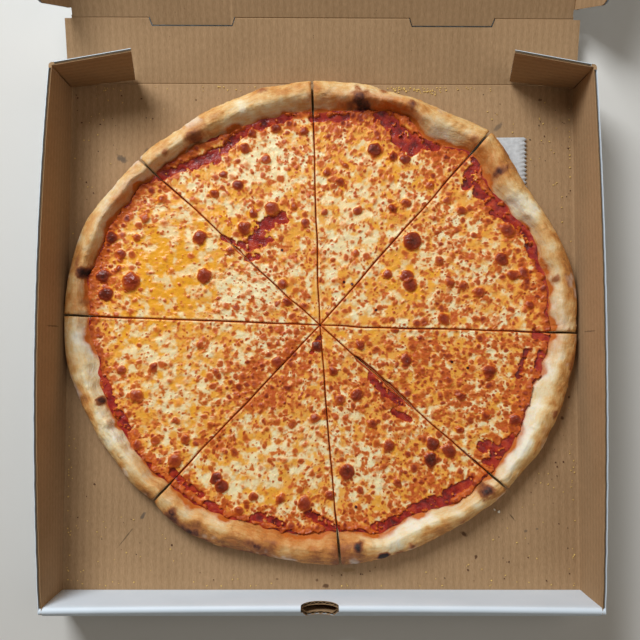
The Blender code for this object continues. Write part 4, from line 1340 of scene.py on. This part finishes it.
# The big blisters: pixel, radius in pixels, and how dark they are
BLISTERS = (
    (238, 185, 6, 0.8), (266, 159, 5, 0.6), (214, 193, 5, 0.6), (200, 237, 7, 0.75), (204, 276, 8, 0.7),
    (131, 281, 9, 0.7), (244, 228, 7, 0.7), (253, 213, 5, 0.65), (272, 208, 7, 0.65), (305, 223, 5, 0.65),
    (112, 237, 6, 0.95), (103, 276, 7, 0.95), (105, 294, 7, 0.95), (145, 218, 5, 0.5), (161, 199, 5, 0.5),
    (294, 205, 4, 0.5), (223, 174, 4, 0.7), (283, 284, 5, 0.6), (287, 302, 5, 0.7), (412, 241, 9, 0.9),
    (508, 230, 7, 0.75), (502, 259, 7, 0.8), (407, 276, 7, 0.75), (410, 285, 7, 0.75), (393, 208, 5, 0.7),
    (406, 203, 5, 0.6), (340, 182, 5, 0.65), (358, 211, 5, 0.6), (325, 212, 4, 0.55), (462, 210, 5, 0.6),
    (375, 149, 7, 0.9), (393, 156, 5, 0.8), (405, 159, 5, 0.8), (388, 274, 5, 0.65), (463, 286, 5, 0.6),
    (450, 283, 5, 0.6), (524, 273, 6, 0.7), (513, 275, 6, 0.7), (479, 292, 6, 0.65), (444, 319, 6, 0.65),
    (153, 367, 5, 0.65), (121, 370, 5, 0.6), (136, 396, 7, 0.55), (175, 421, 4, 0.5), (155, 441, 5, 0.5),
    (137, 445, 5, 0.6), (175, 461, 7, 0.6), (216, 479, 6, 0.9), (222, 487, 7, 0.85), (254, 497, 5, 0.6),
    (238, 511, 5, 0.6), (305, 504, 7, 0.7), (315, 418, 5, 0.6), (277, 362, 6, 0.65), (317, 346, 6, 0.95),
    (407, 360, 6, 0.8), (347, 472, 8, 0.85), (389, 446, 6, 0.7), (372, 424, 5, 0.65), (515, 420, 6, 0.8),
    (462, 397, 5, 0.65), (486, 415, 5, 0.6), (489, 372, 7, 0.75), (433, 444, 7, 0.85), (431, 460, 7, 1.0),
    (449, 451, 7, 0.8), (252, 133, 5, 0.7), (276, 128, 5, 0.75), (304, 131, 5, 0.7), (245, 148, 5, 0.65),
    (121, 253, 5, 0.7), (118, 268, 4, 0.6), (136, 238, 4, 0.55), (230, 250, 4, 0.6), (327, 172, 4, 0.6),
    (345, 165, 4, 0.55), (430, 185, 5, 0.55), (447, 200, 4, 0.55), (475, 235, 4, 0.55), (356, 253, 4, 0.5),
    (440, 260, 5, 0.55), (530, 305, 5, 0.7), (395, 330, 4, 0.6), (360, 345, 5, 0.65), (333, 372, 5, 0.7),
    (340, 400, 5, 0.6), (357, 395, 6, 0.75), (200, 345, 4, 0.5), (215, 372, 4, 0.55), (185, 440, 5, 0.55),
    (330, 495, 5, 0.65), (280, 500, 5, 0.6), (360, 490, 4, 0.6), (398, 483, 5, 0.6), (460, 430, 4, 0.6),
)
SPECKS = ((282, 250), (344, 282), (352, 284), (376, 310), (385, 522), (356, 507), (452, 362), (468, 368))


def stroke_distance(x, y, points):
    """How far each place is from a line through the points."""
    nearest = np.full(x.shape, 1.0)
    for (ax, ay), (bx, by) in zip(points, points[1:]):
        t = ((x - ax) * (bx - ax) + (y - ay) * (by - ay)) / ((bx - ax) ** 2 + (by - ay) ** 2)
        t = np.clip(t, 0.0, 1.0)
        nearest = np.minimum(nearest, np.hypot(x - ax - t * (bx - ax), y - ay - t * (by - ay)))
    return nearest


def cheese_material():
    made, tree, shader = new_material("melted mozzarella", 0.4)
    shader.inputs["Specular IOR Level"].default_value = 0.3
    let_light_in(shader, 0.1, (1.0, 0.6, 0.25), 1.5 * MM)
    where = add(tree, "ShaderNodeTexCoord").outputs["Object"]
    fine = add(tree, "ShaderNodeTexNoise", {"Vector": where, "Scale": 520.0, "Detail": 3.0}).outputs[0]
    layer = {}
    for name in ("cream", "oil", "red", "brown"):
        layer[name] = add(tree, "ShaderNodeAttribute", attribute_name=name).outputs["Fac"]
    golden, cream, oil = linear("#f6b04e"), linear("#fff0c0"), linear("#f9ad26")
    creamy = {0: layer["cream"], 6: golden, 7: cream}
    colour = add(tree, "ShaderNodeMix", creamy, data_type="RGBA").outputs[2]
    oily = {0: layer["oil"], 6: colour, 7: oil}
    colour = add(tree, "ShaderNodeMix", oily, data_type="RGBA").outputs[2]
    ragged = add(tree, "ShaderNodeMath", {0: fine, 1: 0.6, 2: 0.7}, operation="MULTIPLY_ADD").outputs[0]
    red = add(tree, "ShaderNodeMath", {0: layer["red"], 1: ragged}, operation="MULTIPLY").outputs[0]
    colour = stained(tree, colour, red, ((0.0, 0.6, "#f09a40"), (0.3, 1.05, "#bb3213")))
    brown = add(tree, "ShaderNodeMath", {0: layer["brown"], 1: ragged}, operation="MULTIPLY").outputs[0]
    steps = ((0.04, 0.26, "#d0641f"), (0.24, 0.6, "#963518"), (0.62, 0.98, "#562012"), (1.0, 1.25, "#201010"))
    colour = stained(tree, colour, brown, steps)
    tree.links.new(colour, shader.inputs["Base Color"])
    gloss = add(tree, "ShaderNodeMapRange", {0: layer["oil"], 3: 0.46, 4: 0.28}).outputs[0]
    tree.links.new(gloss, shader.inputs["Roughness"])
    bump = add(tree, "ShaderNodeBump", {"Strength": 0.35, "Distance": 0.4 * MM, "Height": fine})
    tree.links.new(bump.outputs[0], shader.inputs["Normal"])
    return made


MOZZARELLA = cheese_material()
for index, (name, *_) in enumerate(SLICES):
    found = fan_piece(f"cheese_{name}_layer", index, round(236 / FINE), 0.2, 1.0, 0.1 * MM)
    mesh, x, y, top, radius, away, toe = found
    oil, cream, red = np.full(x.shape, 0.15), np.full(x.shape, 0.35), np.full(x.shape, 0.38)
    for u, v, reach, more_oil, more_cream, more_red in CHEESE_TONES:
        cx, cy = under_pixel(u, v, CHEESE_Z)
        weight = np.exp(-((x - cx) ** 2 + (y - cy) ** 2) / (reach * PIXEL) ** 2)
        oil, cream, red = oil + more_oil * weight, cream + more_cream * weight, red + more_red * weight
    near_edge = smooth(toe - 24 * MM, toe - 6 * MM, radius)
    red = np.clip(red + 0.35 * near_edge, 0.0, 1.0)

    ragged = cloud(x, y, 6 * MM, 80, 3) - 0.5
    window = np.zeros_like(x)
    for wide, *pixels in SAUCE_STROKES:
        off = stroke_distance(x, y, [under_pixel(u, v, WINDOW_Z) for u, v in pixels])
        off = off / (wide * MM / 2)
        window = np.maximum(window, smooth(1.5, 0.8, off + 2.2 * ragged))
    window = window * smooth(0.78, 0.66, cloud(x, y, 3.2 * MM, 82, 2))
    edge_mask = smooth(0.15, 0.75, (toe - radius) / (4 * MM) + 2.0 * ragged + 0.35)
    window = np.maximum(window, 1.0 - edge_mask)

    warp_x = x + 3.0 * MM * (cloud(x, y, 5 * MM, 84, 2) - 0.5)
    warp_y = y + 3.0 * MM * (cloud(x, y, 5 * MM, 87, 2) - 0.5)
    broad = cloud(x, y, 16 * MM, 90, 2) - 0.5
    lumps_at = cloud(x, y, 5.5 * MM, 93, 2) - 0.5
    height = CHEESE * (0.82 + 0.35 * broad * 2 + 0.5 * lumps_at)
    clump = smooth(0.3, 0.7, 0.55 * cloud(x, y, 13 * MM, 96, 2) + 0.55 * red)
    big, big_number = spots(warp_x, warp_y, 7.2 * MM, 100, 1.8 * MM, 4.0 * MM, 0.25 + 0.7 * clump)
    small, small_number = spots(warp_x, warp_y, 3.6 * MM, 110, 0.8 * MM, 2.0 * MM, 0.22 + 0.6 * clump)
    tiny, tiny_number = spots(warp_x, warp_y, 2.2 * MM, 120, 0.5 * MM, 1.0 * MM, 0.25 + 0.4 * clump)
    halo, _ = spots(warp_x, warp_y, 7.2 * MM, 100, 3.0 * MM, 6.0 * MM, 0.25 + 0.7 * clump)
    height = height + 0.6 * MM * big + 0.4 * MM * small + 0.2 * MM * tiny
    height = height + 0.6 * MM * (cloud(warp_x, warp_y, 2.8 * MM, 145, 2) - 0.5)
    tint = 0.55 + 0.65 * red
    brown = big ** 1.6 * (0.16 + 0.6 * big_number ** 1.2) * tint
    brown = np.maximum(brown, small ** 1.5 * (0.1 + 0.6 * small_number) * tint)
    brown = np.maximum(brown, tiny * 0.3 * tiny_number * tint)
    ring = np.zeros_like(x)
    for u, v, size, dark in BLISTERS:
        cx, cy = under_pixel(u, v, BLISTER_TOP_Z)
        size = size * PIXEL
        off = np.hypot(warp_x - cx, warp_y - cy) / size
        dome = np.sqrt(np.clip(1.0 - (off / 1.05) ** 2, 0.0, 1.0))
        height = height + 0.4 * size * dome
        brown = brown * smooth(0.7, 1.15, off)
        brown = np.maximum(brown, smooth(1.1, 0.85, off) * (dark - 0.42 + 0.45 * dome ** 2))
        window = window * smooth(0.9, 1.2, off)
        ring = np.maximum(ring, smooth(1.8, 1.05, off))
    pale = smooth(0.34, 0.62, 0.6 * cream + 1.0 * (cloud(x, y, 6 * MM, 133, 3) - 0.5) + 0.2)
    oil = oil + 0.3 * ring + 1.2 * (cloud(x, y, 9 * MM, 130, 3) - 0.5)
    oil = np.clip(oil, 0.0, 0.9) * (1.0 - 0.6 * pale)
    stain = smooth(0.42, 0.78, cloud(warp_x, warp_y, 3.6 * MM, 137, 3) + 0.36 * (red - 0.45))
    near_rim = smooth(9 * MM, 2 * MM, toe - radius + 5 * MM * ragged)
    stain = np.maximum(0.85 * stain, 0.5 * halo ** 2 * (0.4 + red))
    stain = np.maximum(stain, 0.75 * near_rim)
    brown = np.maximum(brown, near_rim * (0.1 + 0.5 * cloud(x, y, 4 * MM, 141, 2)))
    ridge = np.exp(-((away - 1.3 * MM) / (1.0 * MM)) ** 2)
    # Painted highlight: the cheese pushed up into a ridge beside each cut is painted paler and less red, as
    # if lit, on top of the 0.25 mm rise it gets further down
    pale = np.clip(pale + 0.3 * ridge, 0.0, 1.0)
    stain = np.clip(stain * (1 - 0.35 * ridge) + 0.7 * smooth(0.8 * MM, 0.0, away), 0.0, 1.0)
    brown = brown * smooth(0.0, 1.0 * MM, away) + 0.4 * smooth(0.5 * MM, 0.0, away)
    for u, v in SPECKS:
        cx, cy = under_pixel(u, v, CHEESE_Z)
        brown = np.maximum(brown, 1.6 * smooth(1.5 * MM, 0.7 * MM, np.hypot(x - cx, y - cy)))
    stain = np.maximum(stain, smooth(0.0, 0.35, window))
    window = smooth(0.0, 0.8, window)

    cheese_top = SAUCE_TOP + toe_rise(radius, toe) + height
    cheese_top = cheese_top - 0.8 * MM * smooth(1.1 * MM, 0.0, away) + 0.25 * MM * ridge
    sunk = SAUCE_TOP + toe_rise(radius, toe) - 0.8 * MM
    cheese_top = cheese_top + (sunk - cheese_top) * window
    set_places(mesh, np.column_stack([x, y, PIZZA_FOOT_Z + np.where(top, cheese_top, CHEESE_FOOT)]))
    add_floats(mesh, cream=pale, oil=oil, red=stain, brown=brown)
    mesh.materials.append(MOZZARELLA)
    mesh.shade_smooth()
    mesh.set_sharp_from_angle(angle=math.radians(65.0))
    layer = bpy.data.objects.new(f"cheese_{name}_layer", mesh)
    finish_piece(layer, "tray", "melted_cheese", f"cheese_{name}")


# Crumbs: cornmeal from the baker's peel, specks of browned crust and burnt flour, and one white crumb. They
# lie on the board along the folds and round the pizza.
CORNMEAL_LINES = (
    ((389, 88), (440, 92), 75), ((440, 88), (502, 87), 12), ((200, 86), (302, 83), 16),
    ((92, 85), (180, 86), 10), ((66, 420), (68, 580), 24), ((67, 230), (70, 400), 12),
    ((577, 100), (580, 330), 24), ((571, 440), (574, 588), 20), ((80, 584), (300, 587), 12),
    ((340, 587), (560, 585), 14), ((540, 120), (560, 200), 8),
)
CRUMB_KINDS = (
    ("cornmeal", "#e0bd6c", 0.4, 0.9, 90, CORNMEAL_LINES),
    ("browned_crumbs", "#5a371e", 0.35, 0.95, 42, (((553, 461), (554, 490), 4), ((330, 574), (380, 570), 6))),
    ("burnt_specks", "#1c1512", 0.3, 0.7, 34, (((86, 262), (104, 200), 5),)),
    ("white_crumb", "#ece4d2", 1.2, 1.7, 0, (((494, 511), (497, 513), 2),)),
)

# Loose crumbs lie between these pixels, outside the pizza, and come no nearer to the walls than this
CRUMB_FIELD = ((72, 572), (92, 582))
PIZZA_PIXEL = (320, 325)
PIZZA_REACH = 262
CRUMB_SIDE = 225 * MM
CRUMB_FRONT = -222 * MM
CRUMB_BACK = 226 * MM
chance = np.random.default_rng(2634)
for name, tint, smallest, largest, loose, lines in CRUMB_KINDS:
    pixels = []
    for (u, v), (end_u, end_v), count in lines:
        for k in range(count):
            part = chance.random()
            away = chance.normal(0.0, 2.0, 2)
            pixels.append((u + part * (end_u - u) + away[0], v + part * (end_v - v) + away[1]))
    while loose > 0:
        u, v = chance.uniform(*CRUMB_FIELD[0]), chance.uniform(*CRUMB_FIELD[1])
        if math.hypot(u - PIZZA_PIXEL[0], v - PIZZA_PIXEL[1]) > PIZZA_REACH:
            pixels.append((u, v))
            loose -= 1
    bm = bmesh.new()
    for u, v in pixels:
        x, y = under_pixel(u, v, BOARD)
        x = min(max(x, -CRUMB_SIDE), CRUMB_SIDE)
        y = max(y, CRUMB_FRONT)
        y = y if y < CRUMB_BACK else 2 * CRUMB_BACK - y
        size = chance.uniform(smallest, largest) * MM
        turn = Matrix.Rotation(chance.uniform(0.0, 6.0), 4, "Z")
        squash = Matrix.Diagonal((1.0, chance.uniform(0.55, 0.9), 0.6, 1.0))
        place = Matrix.Translation((x, y, BOARD + 0.45 * size)) @ turn @ squash
        grown = bmesh.ops.create_icosphere(bm, subdivisions=1, radius=size, matrix=place)["verts"]
        for vert in grown:
            vert.co += Vector(chance.normal(0.0, 0.12 * size, 3))
    mesh = mesh_from(bm, name)
    surface, _, shader = new_material(name.replace("_", " "), 0.8)
    shader.inputs["Base Color"].default_value = linear(tint)
    mesh.materials.append(surface)
    finish_piece(bpy.data.objects.new(name, mesh), "tray", "baked_crust")


# Studio: a pale floor under the box, and two square lights. One is broad and soft and stands at the back
# left, as a window would, and the other fills the shadows weakly.
def studio_light(name, place, side, power, colour):
    data = bpy.data.lights.new(name, "AREA")
    data.shape = "SQUARE"
    data.size = side
    data.energy = power
    data.color = colour
    obj = bpy.data.objects.new(name, data)
    obj.location = place
    obj.rotation_euler = (Vector((0.0, 0.0, 0.0)) - Vector(place)).to_track_quat("-Z", "Y").to_euler()
    bpy.context.scene.collection.objects.link(obj)


studio_light("window", (-0.75, 1.25, 1.25), 0.8, 35.5, (0.93, 0.97, 1.0))
studio_light("fill", (0.95, 0.2, 1.6), 1.2, 4.5, (1.0, 0.95, 0.88))

floor_bm = bmesh.new()
bmesh.ops.create_grid(floor_bm, x_segments=1, y_segments=1, size=6.0)
bmesh.ops.translate(floor_bm, vec=(0.0, 0.0, -2 * MM), verts=floor_bm.verts[:])
floor_mesh = mesh_from(floor_bm, "studio_floor")
floor_surface, _, floor_shader = new_material("pale studio floor", 0.8)
floor_shader.inputs["Base Color"].default_value = linear("#d9d6d1")
floor_mesh.materials.append(floor_surface)
studio_floor = bpy.data.objects.new("studio_floor", floor_mesh)
bpy.context.scene.collection.objects.link(studio_floor)

world = bpy.data.worlds.new("studio")
world.use_nodes = True
world.node_tree.nodes["Background"].inputs["Color"].default_value = linear("#f4ead9")
world.node_tree.nodes["Background"].inputs["Strength"].default_value = 0.15
bpy.context.scene.world = world
bpy.context.scene.view_settings.view_transform = "Standard"
